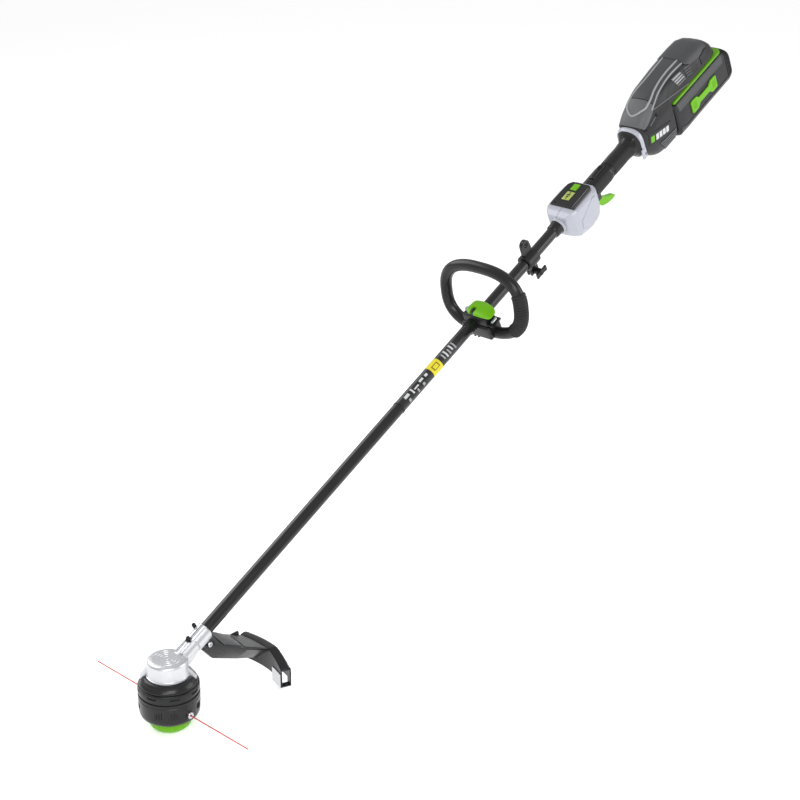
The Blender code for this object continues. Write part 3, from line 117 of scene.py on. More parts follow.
TUBE = shader("anodised_shaft", (0.014, 0.014, 0.015), 0.2, metal=0.3, grain=500.0,
              bump=0.05, coat=0.3)
STEEL = shader("machined_steel", (0.56, 0.57, 0.59), 0.28, metal=1.0, grain=900.0, bump=0.1,
               mottle=0.06)
DARK_STEEL = shader("blackened_screw", (0.02, 0.02, 0.022), 0.34, metal=0.6, grain=900.0, bump=0.1)
COPPER = shader("varnished_copper", (0.62, 0.26, 0.1), 0.36, metal=1.0, grain=700.0,
                bump=0.2)
LINE_RED = shader("orange_red_line", (0.6, 0.03, 0.012), 0.38, grain=1500.0, bump=0.1)
BOARD = shader("solder_resist_board", (0.012, 0.1, 0.035), 0.4, grain=900.0, bump=0.1)
LCD = shader("display_lens", (0.33, 0.4, 0.07), 0.1, grain=300.0, bump=0.01, mottle=0.18,
             coat=0.9)
LABEL_YELLOW = shader("yellow_label_print", (0.62, 0.53, 0.02), 0.4, grain=600.0, bump=0.04,
                      mottle=0.03)
LABEL_GREY = shader("grey_label_print", (0.3, 0.3, 0.31), 0.42, grain=600.0, bump=0.04)
LABEL_WHITE = shader("white_label_print", (0.52, 0.53, 0.54), 0.4, grain=600.0, bump=0.04,
                     mottle=0.02)
LABEL_BLACK = shader("black_label_film", (0.012, 0.012, 0.013), 0.22, grain=600.0, bump=0.03,
                     coat=0.4)


# ---------------------------------------------------------------- shape helpers
def emit(name, form, paint, body=BODY_ROOT, nodes=(), place=SHAFT, bevel=0.0, angle=32.0, steps=2):
    """Put a form in the scene as one piece that rides on a body and may stand for CAD nodes."""
    bmesh.ops.transform(form, matrix=place, verts=form.verts)
    bmesh.ops.recalc_face_normals(form, faces=form.faces)
    mesh = bpy.data.meshes.new(name)
    form.to_mesh(mesh)
    form.free()
    mesh.materials.append(paint)
    mesh.shade_smooth()
    mesh.set_sharp_from_angle(angle=math.radians(angle))
    piece = bpy.data.objects.new(name, mesh)
    bpy.context.scene.collection.objects.link(piece)
    if bevel:
        edge = piece.modifiers.new("edges", "BEVEL")
        edge.width = bevel
        edge.segments = steps
        edge.limit_method = "ANGLE"
        edge.angle_limit = math.radians(angle)
        edge.harden_normals = True
    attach(piece, body)
    if nodes:
        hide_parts(*nodes)


def boolean(first, second, how):
    """Combine two forms; both are used up and a new one comes back."""
    pair = []
    for form in (first, second):
        bmesh.ops.recalc_face_normals(form, faces=form.faces)
        mesh = bpy.data.meshes.new("working")
        form.to_mesh(mesh)
        form.free()
        thing = bpy.data.objects.new("working", mesh)
        bpy.context.scene.collection.objects.link(thing)
        pair.append(thing)
    step = pair[0].modifiers.new("combine", "BOOLEAN")
    step.object = pair[1]
    step.operation = how
    step.solver = "EXACT"
    bpy.context.view_layer.update()
    made = bpy.data.meshes.new_from_object(pair[0].evaluated_get(bpy.context.evaluated_depsgraph_get()))
    form = bmesh.new()
    form.from_mesh(made)
    bpy.data.meshes.remove(made)
    for thing in pair:
        mesh = thing.data
        bpy.data.objects.remove(thing, do_unlink=True)
        bpy.data.meshes.remove(mesh)
    return form


def union(*forms):
    whole = forms[0]
    for form in forms[1:]:
        whole = boolean(whole, form, "UNION")
    return whole


def minus(whole, *forms):
    for form in forms:
        whole = boolean(whole, form, "DIFFERENCE")
    return whole


def common(first, second):
    return boolean(first, second, "INTERSECT")


def moved(form, matrix):
    """Place a form by a matrix, or leave it where it is when there is none."""
    if matrix is not None:
        bmesh.ops.transform(form, matrix=matrix, verts=form.verts)
    return form


def block(size, centre=(0.0, 0.0, 0.0), matrix=None, edge=0.0, steps=2):
    form = bmesh.new()
    bmesh.ops.create_cube(form, size=1.0)
    bmesh.ops.scale(form, vec=size, verts=form.verts)
    if edge:
        bmesh.ops.bevel(form, geom=form.edges[:], offset=edge, segments=steps, affect="EDGES", profile=0.5)
    bmesh.ops.translate(form, vec=centre, verts=form.verts)
    return moved(form, matrix)


def lathe(profile, sides=96, matrix=None, closed=False):
    """(radius, height) points spun about Z; an open profile starts and ends on the axis."""
    form = bmesh.new()
    rings = []
    for radius, height in profile:
        if radius < 1e-7:
            rings.append([form.verts.new((0.0, 0.0, height))])
            continue
        rings.append([form.verts.new((radius * math.cos(2 * math.pi * i / sides),
                                      radius * math.sin(2 * math.pi * i / sides),
                                      height)) for i in range(sides)])
    pairs = list(zip(rings, rings[1:]))
    if closed:
        pairs.append((rings[-1], rings[0]))
    for low, high in pairs:
        for i in range(sides):
            j = (i + 1) % sides
            if len(low) == 1 and len(high) == 1:
                continue
            if len(low) == 1:
                form.faces.new((low[0], high[i], high[j]))
            elif len(high) == 1:
                form.faces.new((low[i], high[0], low[j]))
            else:
                form.faces.new((low[i], high[i], high[j], low[j]))
    return moved(form, matrix)


def rod(radius, low, high, matrix=None, sides=48, edge=0.0, centre=(0.0, 0.0)):
    """A round bar along Z, chamfered where an edge is given, then placed by a matrix."""
    profile = [(0.0, high), (radius - edge, high), (radius, high - edge), (radius, low + edge),
               (radius - edge, low), (0.0, low)]
    if not edge:
        profile = [(0.0, high), (radius, high), (radius, low), (0.0, low)]
    form = lathe(profile, sides)
    bmesh.ops.translate(form, vec=(*centre, 0.0), verts=form.verts)
    return moved(form, matrix)


def loft(sections, closed_ends=True):
    form = bmesh.new()
    rings = [[form.verts.new(point) for point in section] for section in sections]
    count = len(rings[0])
    for low, high in zip(rings, rings[1:]):
        for i in range(count):
            j = (i + 1) % count
            form.faces.new((low[i], low[j], high[j], high[i]))
    if closed_ends:
        form.faces.new(rings[0])
        form.faces.new(rings[-1])
    return form


def prism(outline, low, high):
    """An (along, height) outline in the shaft's plane, run across from low to high."""
    return loft([[(x, across, z) for x, z in outline] for across in (low, high)])


SQUARENESS = 3.6
HALF_GAP = 0.00015


def soften(value, power):
    """Raise a sine or cosine to a power and keep its sign, which squares up a circle."""
    return math.copysign(abs(value) ** power, value)


def oval(station, half_width, low, high, power=SQUARENESS, sides=56):
    middle = (low + high) / 2
    half_height = (high - low) / 2
    ring = []
    for i in range(sides):
        turn = 2 * math.pi * (i + 0.5) / sides
        across = soften(math.cos(turn), 2 / power)
        up = soften(math.sin(turn), 2 / power)
        ring.append((station, half_width * across, middle + half_height * up))
    return ring


def blended(stations, fine=4):
    """Cubic in-between rows, so that a loft has no facets along its length."""
    rows = []
    count = len(stations)
    for k in range(count - 1):
        before = stations[max(k - 1, 0)]
        here = stations[k]
        after = stations[k + 1]
        beyond = stations[min(k + 2, count - 1)]
        for step in range(fine):
            t = step / fine
            row = [here[0] + (after[0] - here[0]) * t]
            for i in range(1, len(here)):
                span = after[0] - here[0]
                start = (after[i] - before[i]) / max(after[0] - before[0], 1e-6) * span
                end = (beyond[i] - here[i]) / max(beyond[0] - here[0], 1e-6) * span
                row.append((2 * t ** 3 - 3 * t ** 2 + 1) * here[i] + (t ** 3 - 2 * t ** 2 + t) * start
                           + (3 * t ** 2 - 2 * t ** 3) * after[i] + (t ** 3 - t ** 2) * end)
            rows.append(tuple(row))
    rows.append(stations[-1])
    return rows


def body(stations, grow=0.0, power=SQUARENESS, sides=56, fine=4):
    return loft([oval(s, w + grow, low - grow, high + grow, power, sides)
                 for s, w, low, high in blended(stations, fine)])


def sweep(points, radius, sides=20, closed=False, up=Vector((0.0, 0.0, 1.0)), radii=None):
    """A round bar along a line of points."""
    form = bmesh.new()
    line = [Vector(point) for point in points]
    count = len(line)
    rings = []
    for i, here in enumerate(line):
        ahead = line[(i + 1) % count] if closed or i + 1 < count else here
        behind = line[i - 1] if closed or i > 0 else here
        along = (ahead - behind).normalized()
        side = along.cross(up).normalized()
        top = side.cross(along).normalized()
        r = radii[i] if radii else radius
        rings.append([form.verts.new(here + r * (math.cos(2 * math.pi * k / sides) * side
                                                 + math.sin(2 * math.pi * k / sides) * top))
                      for k in range(sides)])
    pairs = list(zip(rings, rings[1:]))
    if closed:
        pairs.append((rings[-1], rings[0]))
    for low, high in pairs:
        for k in range(sides):
            j = (k + 1) % sides
            form.faces.new((low[k], low[j], high[j], high[k]))
    if not closed:
        form.faces.new(rings[0])
        form.faces.new(rings[-1])
    return form


def merged(forms):
    """Several forms side by side in one, with no Boolean."""
    whole = bmesh.new()
    for form in forms:
        mesh = bpy.data.meshes.new("part")
        form.to_mesh(mesh)
        form.free()
        whole.from_mesh(mesh)
        bpy.data.meshes.remove(mesh)
    return whole


def about_spin(angle, radius, height):
    return (radius * math.cos(angle), radius * math.sin(angle), height)


def place_on_shaft(station, across, height, turn=WORLD):
    return Matrix.Translation((station, across, height)) @ turn


def facing(side):
    """Turn a form's Z toward the left (-1) or the right (1)."""
    return Matrix.Rotation(math.radians(-90.0 * side), 4, "X")


def other_half(side, size, station):
    """A block over the far half of a split moulding, with half of the parting gap."""
    return block(size, (station, -side * (size[1] / 2 - HALF_GAP), 0.0))


def cap_screw(radius, height, drive=0.5):
    """A round screw head along Z with a hexagonal socket."""
    head = lathe([(0.0, height), (radius * 0.82, height), (radius, height * 0.78), (radius, 0.0), (0.0, 0.0)],
                 sides=32)
    return minus(head, rod(radius * drive, height * 0.45, height * 2, sides=6))


# ---------------------------------------------------------------- motor housing and neck
LEG_TURNS = [Matrix.Rotation(math.radians(132.0 - 90.0 * index), 4, "Z") for index in range(3)]
LEG_FOOT = 0.0985
NECK_SCREWS = (("neck_screw_upper", 0.0965, 0.0085), ("neck_screw_lower", 0.068, -0.0025))
GUARD_BOLT = (0.094, -0.0225)


def motor():
    profile = [(0.0, 0.1425), (0.0036, 0.1425), (0.004, 0.142), (0.0068, 0.142), (0.0072, 0.1425)]
    for ring in (0.0125, 0.0185, 0.025):
        profile += [(ring, 0.1425), (ring + 0.0004, 0.142), (ring + 0.0016, 0.142), (ring + 0.002, 0.1425)]
    profile += [(0.0335, 0.1422), (0.0362, 0.1411), (0.0378, 0.1392), (0.0385, 0.1365), (0.0385, 0.1128),
                (0.0392, 0.1116), (0.0407, 0.111), (0.0407, 0.1088), (0.0, 0.1088)]
    shell = lathe(profile, 120)
    for turn in LEG_TURNS:
        leg = loft([[(reach, -half, LEG_FOOT), (reach, -half, top), (reach, half, top),
                     (reach, half, LEG_FOOT)]
                    for reach, half, top in ((0.0335, 0.0062, 0.13), (0.043, 0.0058, 0.1205),
                                             (0.0525, 0.0045, 0.1085))])
        bmesh.ops.bevel(leg, geom=leg.edges[:], offset=0.0011, segments=2, affect="EDGES")
        shell = union(shell, moved(leg, turn))
    neck = rod(0.0165, 0.024, 0.108, SHAFT @ ALONG_X, 64, 0.0012)
    band = rod(0.019, 0.072, 0.106, SHAFT @ ALONG_X, 64, 0.0014)
    parts = [neck, band]
    for across, width, height in ((-0.0095, 0.0062, 0.0178), (0.005, 0.0058, 0.0196)):
        parts.append(block((0.07, width, 0.012), (0.072, across, height - 0.006), SHAFT, 0.0016))
    parts.append(block((0.018, 0.01, 0.016), (0.094, 0.0, -0.022), SHAFT, 0.0012))
    for _, station, across in NECK_SCREWS:
        parts.append(rod(0.0062, 0.008, 0.0195, SHAFT @ place_on_shaft(station, across, 0.0), 32, 0.001))
    web = loft([[(0.02, side, 0.1105), (0.05, side, 0.1105), (0.08, side, 0.134), (0.03, side, 0.137)]
                for side in (-0.0065, 0.0065)])
    parts.append(web)
    shell = union(shell, *parts)
    shell = minus(shell, rod(0.0133, 0.0617, 0.13, SHAFT @ ALONG_X, 64),
                  block((0.04, 0.0022, 0.02), (0.0905, -0.0022, 0.024), SHAFT))
    emit("motor_housing_cast", shell, ALLOY, BODY_ROOT, ["motor_housing"], WORLD, 0.0005, 40.0)
    ribs = []
    for index in range(24):
        turn = Matrix.Rotation(2 * math.pi * index / 24, 4, "Z")
        ribs.append(block((0.0062, 0.001, 0.0006), (0.0298, 0.0, 0.1424), turn, 0.0002, 1))
    emit("motor_cap_ribs", merged(ribs), ALLOY, place=WORLD)
    for name, station, across in NECK_SCREWS:
        head = cap_screw(0.0041, 0.0055)
        shank = rod(0.0025, -0.005, 0.0004, sides=24)
        emit(name + "_black", union(head, shank), DARK_STEEL, BODY_ROOT, [name],
             SHAFT @ place_on_shaft(station, across, 0.0198))
    head = cap_screw(0.0052, 0.0052)
    emit("guard_bolt_head", union(head, rod(0.0025, -0.022, 0.0004, sides=24)), STEEL, BODY_ROOT,
         ["guard_bolt"], SHAFT @ place_on_shaft(GUARD_BOLT[0], -0.0108, GUARD_BOLT[1], facing(-1)))

    notches = []
    for turn in LEG_TURNS:
        notches.append(block((0.03, 0.0136, 0.03), (0.0472, 0.0, 0.1132), turn))
    shroud = lathe([(0.0113, 0.1085), (0.0398, 0.1085), (0.0405, 0.108), (0.044, 0.108), (0.0462, 0.1066),
                    (0.0498, 0.103), (0.0506, 0.103), (0.0536, 0.099), (0.0548, 0.0968), (0.055, 0.0948),
                    (0.0545, 0.0945), (0.0515, 0.0945), (0.043, 0.103), (0.0113, 0.103)], 120, closed=True)
    shroud = minus(shroud, *notches)
    emit("base_shroud_moulded", shroud, BLACK_SATIN, BODY_ROOT, ["base_shroud"], WORLD, 0.0004, 35.0)


# ---------------------------------------------------------------- cutting head
PANEL_ANGLES = (28.0, 58.0, 118.0, 148.0, 208.0, 238.0, 298.0, 328.0)
LINE_TURN = Matrix.Rotation(math.radians(-92.0), 4, "Z")
LINE_HEIGHT = Matrix.Translation((0.0, 0.0, 0.0455))
LINE_START = 0.0385
LINE_REACH = 0.2184
LINE_TWIST = 0.013
LINE_CORNER = 0.00125
LINE_FLAT = 0.00098


def cutting_head():
    upper = lathe([(0.0043, 0.0935), (0.015, 0.0935), (0.0155, 0.0928), (0.05, 0.0928), (0.0505, 0.0935),
                   (0.0548, 0.0935), (0.0565, 0.093), (0.0575, 0.0915), (0.0579, 0.086), (0.058, 0.08),
                   (0.0578, 0.0788), (0.056, 0.0782), (0.0558, 0.0743), (0.0537, 0.0743), (0.0537, 0.0895),
                   (0.012, 0.0895), (0.012, 0.0743), (0.0043, 0.0743)], 128, closed=True)
    cuts = []
    for index in range(8):
        turn = Matrix.Rotation(math.radians(45.0 * index + 15.0), 4, "Z")
        cuts.append(block((0.01, 0.02, 0.005), (0.06, 0.0, 0.0868), turn, 0.0015))
    upper = minus(upper, *cuts)
    emit("head_upper_moulded", upper, BLACK_SATIN, HEAD, ["head_upper_housing"], WORLD, 0.0004, 35.0)

    lower = lathe([(0.0537, 0.074), (0.057, 0.074), (0.058, 0.0732), (0.058, 0.069), (0.0574, 0.0684),
                   (0.0574, 0.067), (0.0579, 0.0664), (0.057, 0.04), (0.0565, 0.035), (0.0553, 0.0318),
                   (0.0535, 0.029), (0.049, 0.0258), (0.0445, 0.0235), (0.0415, 0.0235), (0.0415, 0.0265),
                   (0.0495, 0.033), (0.053, 0.039)], 128, closed=True)
    for index in range(2):
        turn = Matrix.Rotation(math.pi * index, 4, "Z") @ LINE_TURN
        boss = rod(0.0086, 0.052, 0.0592, turn @ LINE_HEIGHT @ ALONG_X, 40, 0.0012)
        lower = union(lower, boss)
        lower = minus(lower, rod(0.0048, 0.045, 0.07, turn @ LINE_HEIGHT @ ALONG_X, 40))
    panels = []
    for angle in PANEL_ANGLES:
        turn = Matrix.Rotation(math.radians(angle), 4, "Z")
        panels.append(block((0.006, 0.019, 0.015), (0.0593, 0.0, 0.0515), turn, 0.002))
    lower = minus(lower, *panels)
    emit("head_lower_moulded", lower, BLACK_SATIN, HEAD, ["head_lower_housing"], WORLD, 0.0004, 35.0)
    fins = []
    for angle in PANEL_ANGLES:
        for shift in (-5.0, 0.0, 5.0):
            turn = Matrix.Rotation(math.radians(angle + shift), 4, "Z")
            fins.append(block((0.0022, 0.0012, 0.013), (0.0567, 0.0, 0.0515), turn, 0.0004, 1))
    emit("head_grip_fins", merged(fins), BLACK, HEAD, (), WORLD)

    for index, name in enumerate(("near", "far")):
        turn = Matrix.Rotation(math.pi * index, 4, "Z") @ LINE_TURN @ LINE_HEIGHT @ ALONG_X
        eye = lathe([(0.0019, 0.061), (0.0024, 0.0618), (0.0058, 0.0618), (0.0063, 0.0612), (0.0063, 0.0594),
                     (0.0045, 0.0588), (0.0045, 0.0515), (0.0019, 0.0515)], 48, closed=True)
        emit("eyelet_%s_metal" % name, eye, STEEL, HEAD, ["eyelet_" + name], turn)
        # the line is square in section and twisted along its length
        rows = []
        count = 170
        for k in range(count + 1):
            station = LINE_START + (LINE_REACH - LINE_START) * k / count
            twist = 2 * math.pi * station / LINE_TWIST
            ring_points = []
            for corner in range(8):
                reach = LINE_CORNER if corner % 2 == 0 else LINE_FLAT
                a = twist + math.pi * corner / 4
                ring_points.append((reach * math.cos(a), reach * math.sin(a), station))
            rows.append(ring_points)
        emit("cutting_line_%s_twisted" % name, loft(rows), LINE_RED, HEAD, ["cutting_line_" + name], turn)

    knob = lathe([(0.0, 0.0282), (0.02, 0.0282), (0.02, 0.0205), (0.0398, 0.0205), (0.0405, 0.0198),
                  (0.0405, 0.015), (0.0396, 0.01), (0.038, 0.007), (0.035, 0.0036), (0.031, 0.0012),
                  (0.0262, 0.0), (0.012, 0.0), (0.0112, 0.001), (0.0, 0.001)], 144)
    grooves = [rod(0.0036, -0.001, 0.024, Matrix.Rotation(2 * math.pi * k / 18, 4, "Z"), 24,
                   centre=(0.0428, 0.0)) for k in range(18)]
    emit("bump_knob_moulded", minus(knob, merged(grooves)), GREEN, SPOOL, ["bump_knob"], WORLD, 0.0004, 35.0)


# ---------------------------------------------------------------- shaft, labels, guard
TUBE_WALL = 0.0018
TUBE_START = 0.062
TUBE_END = 1.424
FILM_INSIDE = 0.01303
FILM_OUTSIDE = 0.0132
PRINT_LIFT = 0.01322
GUARD_NEAR = math.radians(-24.0)
GUARD_FAR = math.radians(9.5)
# reach, bottom, left edge and its top, right edge and its top
GUARD_SPINE = (
    (0.086, 0.121, 0.012, 0.138, 0.012, 0.15), (0.107, 0.096, 0.018, 0.13, 0.016, 0.142),
    (0.135, 0.083, 0.025, 0.118, 0.024, 0.131), (0.17, 0.067, 0.034, 0.102, 0.03, 0.108),
    (0.218, 0.048, 0.043, 0.0825, 0.0345, 0.0835), (0.23, 0.045, 0.044, 0.08, 0.035, 0.0805))


def patch(name, start, end, first, last, lift, paint, thick=0.00012, steps=18):
    """A thin curved sticker on the shaft between two angles; 0 is the top, 90 faces the operator's left."""
    inner = []
    outer = []
    for i in range(steps + 1):
        turn = math.radians(first + (last - first) * i / steps)
        inner.append((-math.sin(turn) * lift, math.cos(turn) * lift))
        outer.append((-math.sin(turn) * (lift + thick), math.cos(turn) * (lift + thick)))
    ring = inner + outer[::-1]
    emit(name, loft([[(station, y, z) for y, z in ring] for station in (start, end)]), paint)


def shaft():
    inner = TUBE_RADIUS - TUBE_WALL
    tube = lathe([(inner, TUBE_END), (TUBE_RADIUS, TUBE_END), (TUBE_RADIUS, TUBE_START), (inner, TUBE_START)],
                 96, closed=True)
    emit("shaft_tube_anodised", tube, TUBE, BODY_ROOT, ["shaft_tube"], SHAFT @ ALONG_X)
    sleeve = lathe([(FILM_INSIDE, 0.919), (FILM_OUTSIDE, 0.919), (FILM_OUTSIDE, 0.722), (FILM_INSIDE, 0.722)],
                   96, closed=True)
    emit("label_film", sleeve, LABEL_BLACK, place=SHAFT @ ALONG_X)
    ring = lathe([(FILM_INSIDE, 0.7216), (0.0138, 0.721), (0.0138, 0.7176), (FILM_INSIDE, 0.717)], 96,
                 closed=True)
    emit("label_end_ring", ring, BLACK, place=SHAFT @ ALONG_X)
    patch("label_yellow_field", 0.824, 0.855, -70.0, 150.0, PRINT_LIFT, LABEL_YELLOW, steps=40)
    patch("label_yellow_mark", 0.8305, 0.8485, 20.0, 68.0, 0.01336, LABEL_BLACK)
    patch("label_yellow_mark_inner", 0.8325, 0.8465, 26.0, 62.0, 0.0135, LABEL_YELLOW)
    bars = 0
    for start, end, first, last, paint in (
            (0.738, 0.752, 12.0, 40.0, LABEL_WHITE), (0.742, 0.748, 60.0, 92.0, LABEL_GREY),
            (0.76, 0.764, 5.0, 60.0, LABEL_WHITE), (0.768, 0.782, 30.0, 44.0, LABEL_WHITE),
            (0.772, 0.776, 55.0, 90.0, LABEL_GREY), (0.788, 0.8, 14.0, 36.0, LABEL_WHITE),
            (0.79, 0.796, 56.0, 84.0, LABEL_GREY), (0.806, 0.814, 16.0, 40.0, LABEL_WHITE),
            (0.866, 0.87, 10.0, 66.0, LABEL_GREY), (0.875, 0.879, 2.0, 74.0, LABEL_WHITE),
            (0.884, 0.888, 18.0, 74.0, LABEL_GREY), (0.893, 0.897, 2.0, 60.0, LABEL_WHITE),
            (0.902, 0.906, 2.0, 74.0, LABEL_GREY)):
        bars += 1
        patch("label_bar_%02d" % bars, start, end, first, last, PRINT_LIFT, paint)
    stop = union(block((0.012, 0.008, 0.005), (1.112, 0.0, -0.015), None, 0.0018),
                 rod(0.0142, 1.107, 1.117, ALONG_X, 64, 0.0008))
    stop = minus(stop, rod(0.01305, 1.1, 1.16, ALONG_X, 96))
    emit("cable_stop_collar", stop, BLACK, bevel=0.0003)


def skirt_top(angle):
    start = math.radians(-11.0)
    share = min(max((start - angle) / (start - GUARD_NEAR), 0.0), 1.0)
    return 0.084 + (0.062 - 0.084) * share


def guard():
    near = GUARD_NEAR
    far = GUARD_FAR
    sections = []
    count = 60
    for k in range(count + 1):
        angle = near + (far - near) * k / count
        top = skirt_top(angle)
        sections.append([about_spin(angle, r, z) for r, z in (
            (0.2208, 0.036), (0.2208, top - 0.0012), (0.222, top), (0.23, top + 0.0004),
            (0.2388, top - 0.002), (0.2418, top - 0.0055), (0.2424, top - 0.012), (0.2418, 0.036),
            (0.2392, 0.036), (0.2392, top - 0.0085), (0.238, top - 0.0058), (0.2234, top - 0.0028),
            (0.2234, 0.036))])
    skirt = loft(sections)

    def arc(low_r, high_r, low_z, high_z, start, end, steps=8):
        return loft([[about_spin(start + (end - start) * k / steps, r, z) for r, z in (
            (low_r, low_z), (low_r, high_z), (high_r, high_z), (high_r, low_z))] for k in range(steps + 1)])

    depth = math.radians(3.0)
    skirt = union(skirt, arc(0.2208, 0.2418, 0.022, 0.06, near, near + depth))
    spine_rows = []
    for reach, bottom, left, left_top, right, right_top in blended(GUARD_SPINE, 1):
        middle = (left_top + right_top) / 2 + 0.001
        spine_rows.append([
            (reach, -left, left_top), (reach, 0.0, middle), (reach, right, right_top),
            (reach, right - 0.001, right_top - 0.004), (reach, 0.0055, bottom + 0.002),
            (reach, 0.004, bottom), (reach, -0.004, bottom), (reach, -0.0055, bottom + 0.002),
            (reach, -left + 0.001, left_top - 0.004)])
    cheek = block((0.022, 0.021, 0.018), (0.0955, 0.0, -0.0235), SHAFT, 0.0015)
    whole = union(skirt, loft(spine_rows), cheek)
    whole = minus(
        whole, arc(0.2236, 0.239, 0.0248, 0.0572, near - 0.02, near + depth + 0.02),
        rod(0.0193, 0.03, 0.1085, SHAFT @ ALONG_X, 64), rod(0.0145, 0.03, 0.4, SHAFT @ ALONG_X, 64),
        block((0.0186, 0.0106, 0.04), (0.094, 0.0, -0.0103), SHAFT),
        rod(0.0028, -0.03, 0.03, SHAFT @ place_on_shaft(GUARD_BOLT[0], 0.0, GUARD_BOLT[1], ALONG_Y), 24),
        rod(0.007, -0.05, -0.0105, SHAFT @ place_on_shaft(GUARD_BOLT[0], 0.0, GUARD_BOLT[1], ALONG_Y), 32))
    emit("guard_shield_moulded", whole, BLACK_SATIN, BODY_ROOT, ["guard_shield"], WORLD, 0.0007, 28.0)

    def top_at(reach, across):
        rows = [(row[0], *row[2:]) for row in GUARD_SPINE[1:5]]
        for low, high in zip(rows, rows[1:]):
            if reach <= high[0] or high is rows[-1]:
                t = (reach - low[0]) / (high[0] - low[0])
                left, left_top, right, right_top = [a + (b - a) * t for a, b in zip(low[1:], high[1:])]
                break
        middle = (left_top + right_top) / 2 + 0.001
        if across < 0:
            return middle + (left_top - middle) * (-across / left)
        return middle + (right_top - middle) * (across / right)

    def plate(name, corners, thick, paint):
        sink = 0.0015
        rim = []
        for (x0, y0), (x1, y1) in zip(corners, corners[1:] + corners[:1]):
            for k in range(6):
                t = k / 6
                rim.append((x0 + (x1 - x0) * t, y0 + (y1 - y0) * t))
        rows = [[(x, y, top_at(x, y) + lift) for x, y in rim] for lift in (-sink, thick)]
        form = loft(rows, False)
        centre_x = sum(x for x, _ in rim) / len(rim)
        centre_y = sum(y for _, y in rim) / len(rim)
        count = len(rim)
        for row, lift in enumerate((-sink, thick)):
            hub = form.verts.new((centre_x, centre_y, top_at(centre_x, centre_y) + lift))
            form.verts.ensure_lookup_table()
            for k in range(count):
                edge = (form.verts[row * count + k], form.verts[row * count + (k + 1) % count])
                form.faces.new((*edge, hub))
        emit(name, form, paint, place=WORLD, bevel=0.0004, angle=40.0)

    # grey sheets over the guard's upward top faces are a painted highlight: the top is drawn lighter where
    # light falls on it
    plate("guard_top_painted_highlight_front", [(0.124, -0.019), (0.162, -0.0265), (0.173, 0.024), (0.122, 0.0165)], 0.001,
          GREY)
    plate("guard_top_painted_highlight_rear", [(0.168, -0.029), (0.215, -0.039), (0.215, 0.028), (0.179, 0.023)], 0.0009,
          GREY)
    ribs = []
    for angle in (-20.0, -16.5, -13.0):
        turn = math.radians(angle)
        top = skirt_top(turn)
        ribs.append(arc(0.2225, 0.2405, top - 0.0085, top - 0.003, turn - 0.004, turn + 0.004, 1))
    emit("guard_inner_ribs", merged(ribs), BLACK, place=WORLD)
    tab = block((0.02, 0.006, 0.01), (0.196, 0.03, 0.0945), None, 0.0016)
    emit("guard_far_tab", tab, BLACK, place=WORLD)
    blade = arc(0.2193, 0.2205, 0.021, 0.051, near + 0.004, near + math.radians(9.5), 10)
    emit("line_cutter_plate", blade, STEEL, BODY_ROOT, ["line_cutter_blade"], WORLD, 0.0002)


# ---------------------------------------------------------------- loop handle
LOOP_STATION = 1.004
LOOP_LEAN = math.radians(17.5)
LOOP_WIDTH = 0.1
LOOP_SHIFT = -0.0145
LOOP_LOW = -0.029
LOOP_HIGH = 0.115
LOOP_RADIUS = 0.0128
CLAMP_MIDDLE = LOOP_STATION + LOOP_LOW * math.sin(LOOP_LEAN)
LEAN_NORMAL = Vector((math.cos(LOOP_LEAN), 0.0, -math.sin(LOOP_LEAN)))


def loop_point(turn):
    power = 2.6
    across = soften(math.cos(turn), 2 / power) * LOOP_WIDTH
    up = soften(math.sin(turn), 2 / power)
    height = (LOOP_LOW + LOOP_HIGH) / 2 + up * (LOOP_HIGH - LOOP_LOW) / 2
    return Vector((LOOP_STATION + height * math.sin(LOOP_LEAN), LOOP_SHIFT + across,
                   height * math.cos(LOOP_LEAN)))


def even_loop(start, end, count):
    """Points at even spacing along part of the loop."""
    fine = [loop_point(start + (end - start) * k / 2000) for k in range(2001)]
    reach = [0.0]
    for a, b in zip(fine, fine[1:]):
        reach.append(reach[-1] + (b - a).length)
    points = []
    index = 0
    for k in range(count + 1):
        goal = reach[-1] * k / count
        while index < 1999 and reach[index + 1] < goal:
            index += 1
        span = reach[index + 1] - reach[index]
        points.append(fine[index].lerp(fine[index + 1], min(1.0, (goal - reach[index]) / span)))
    return points


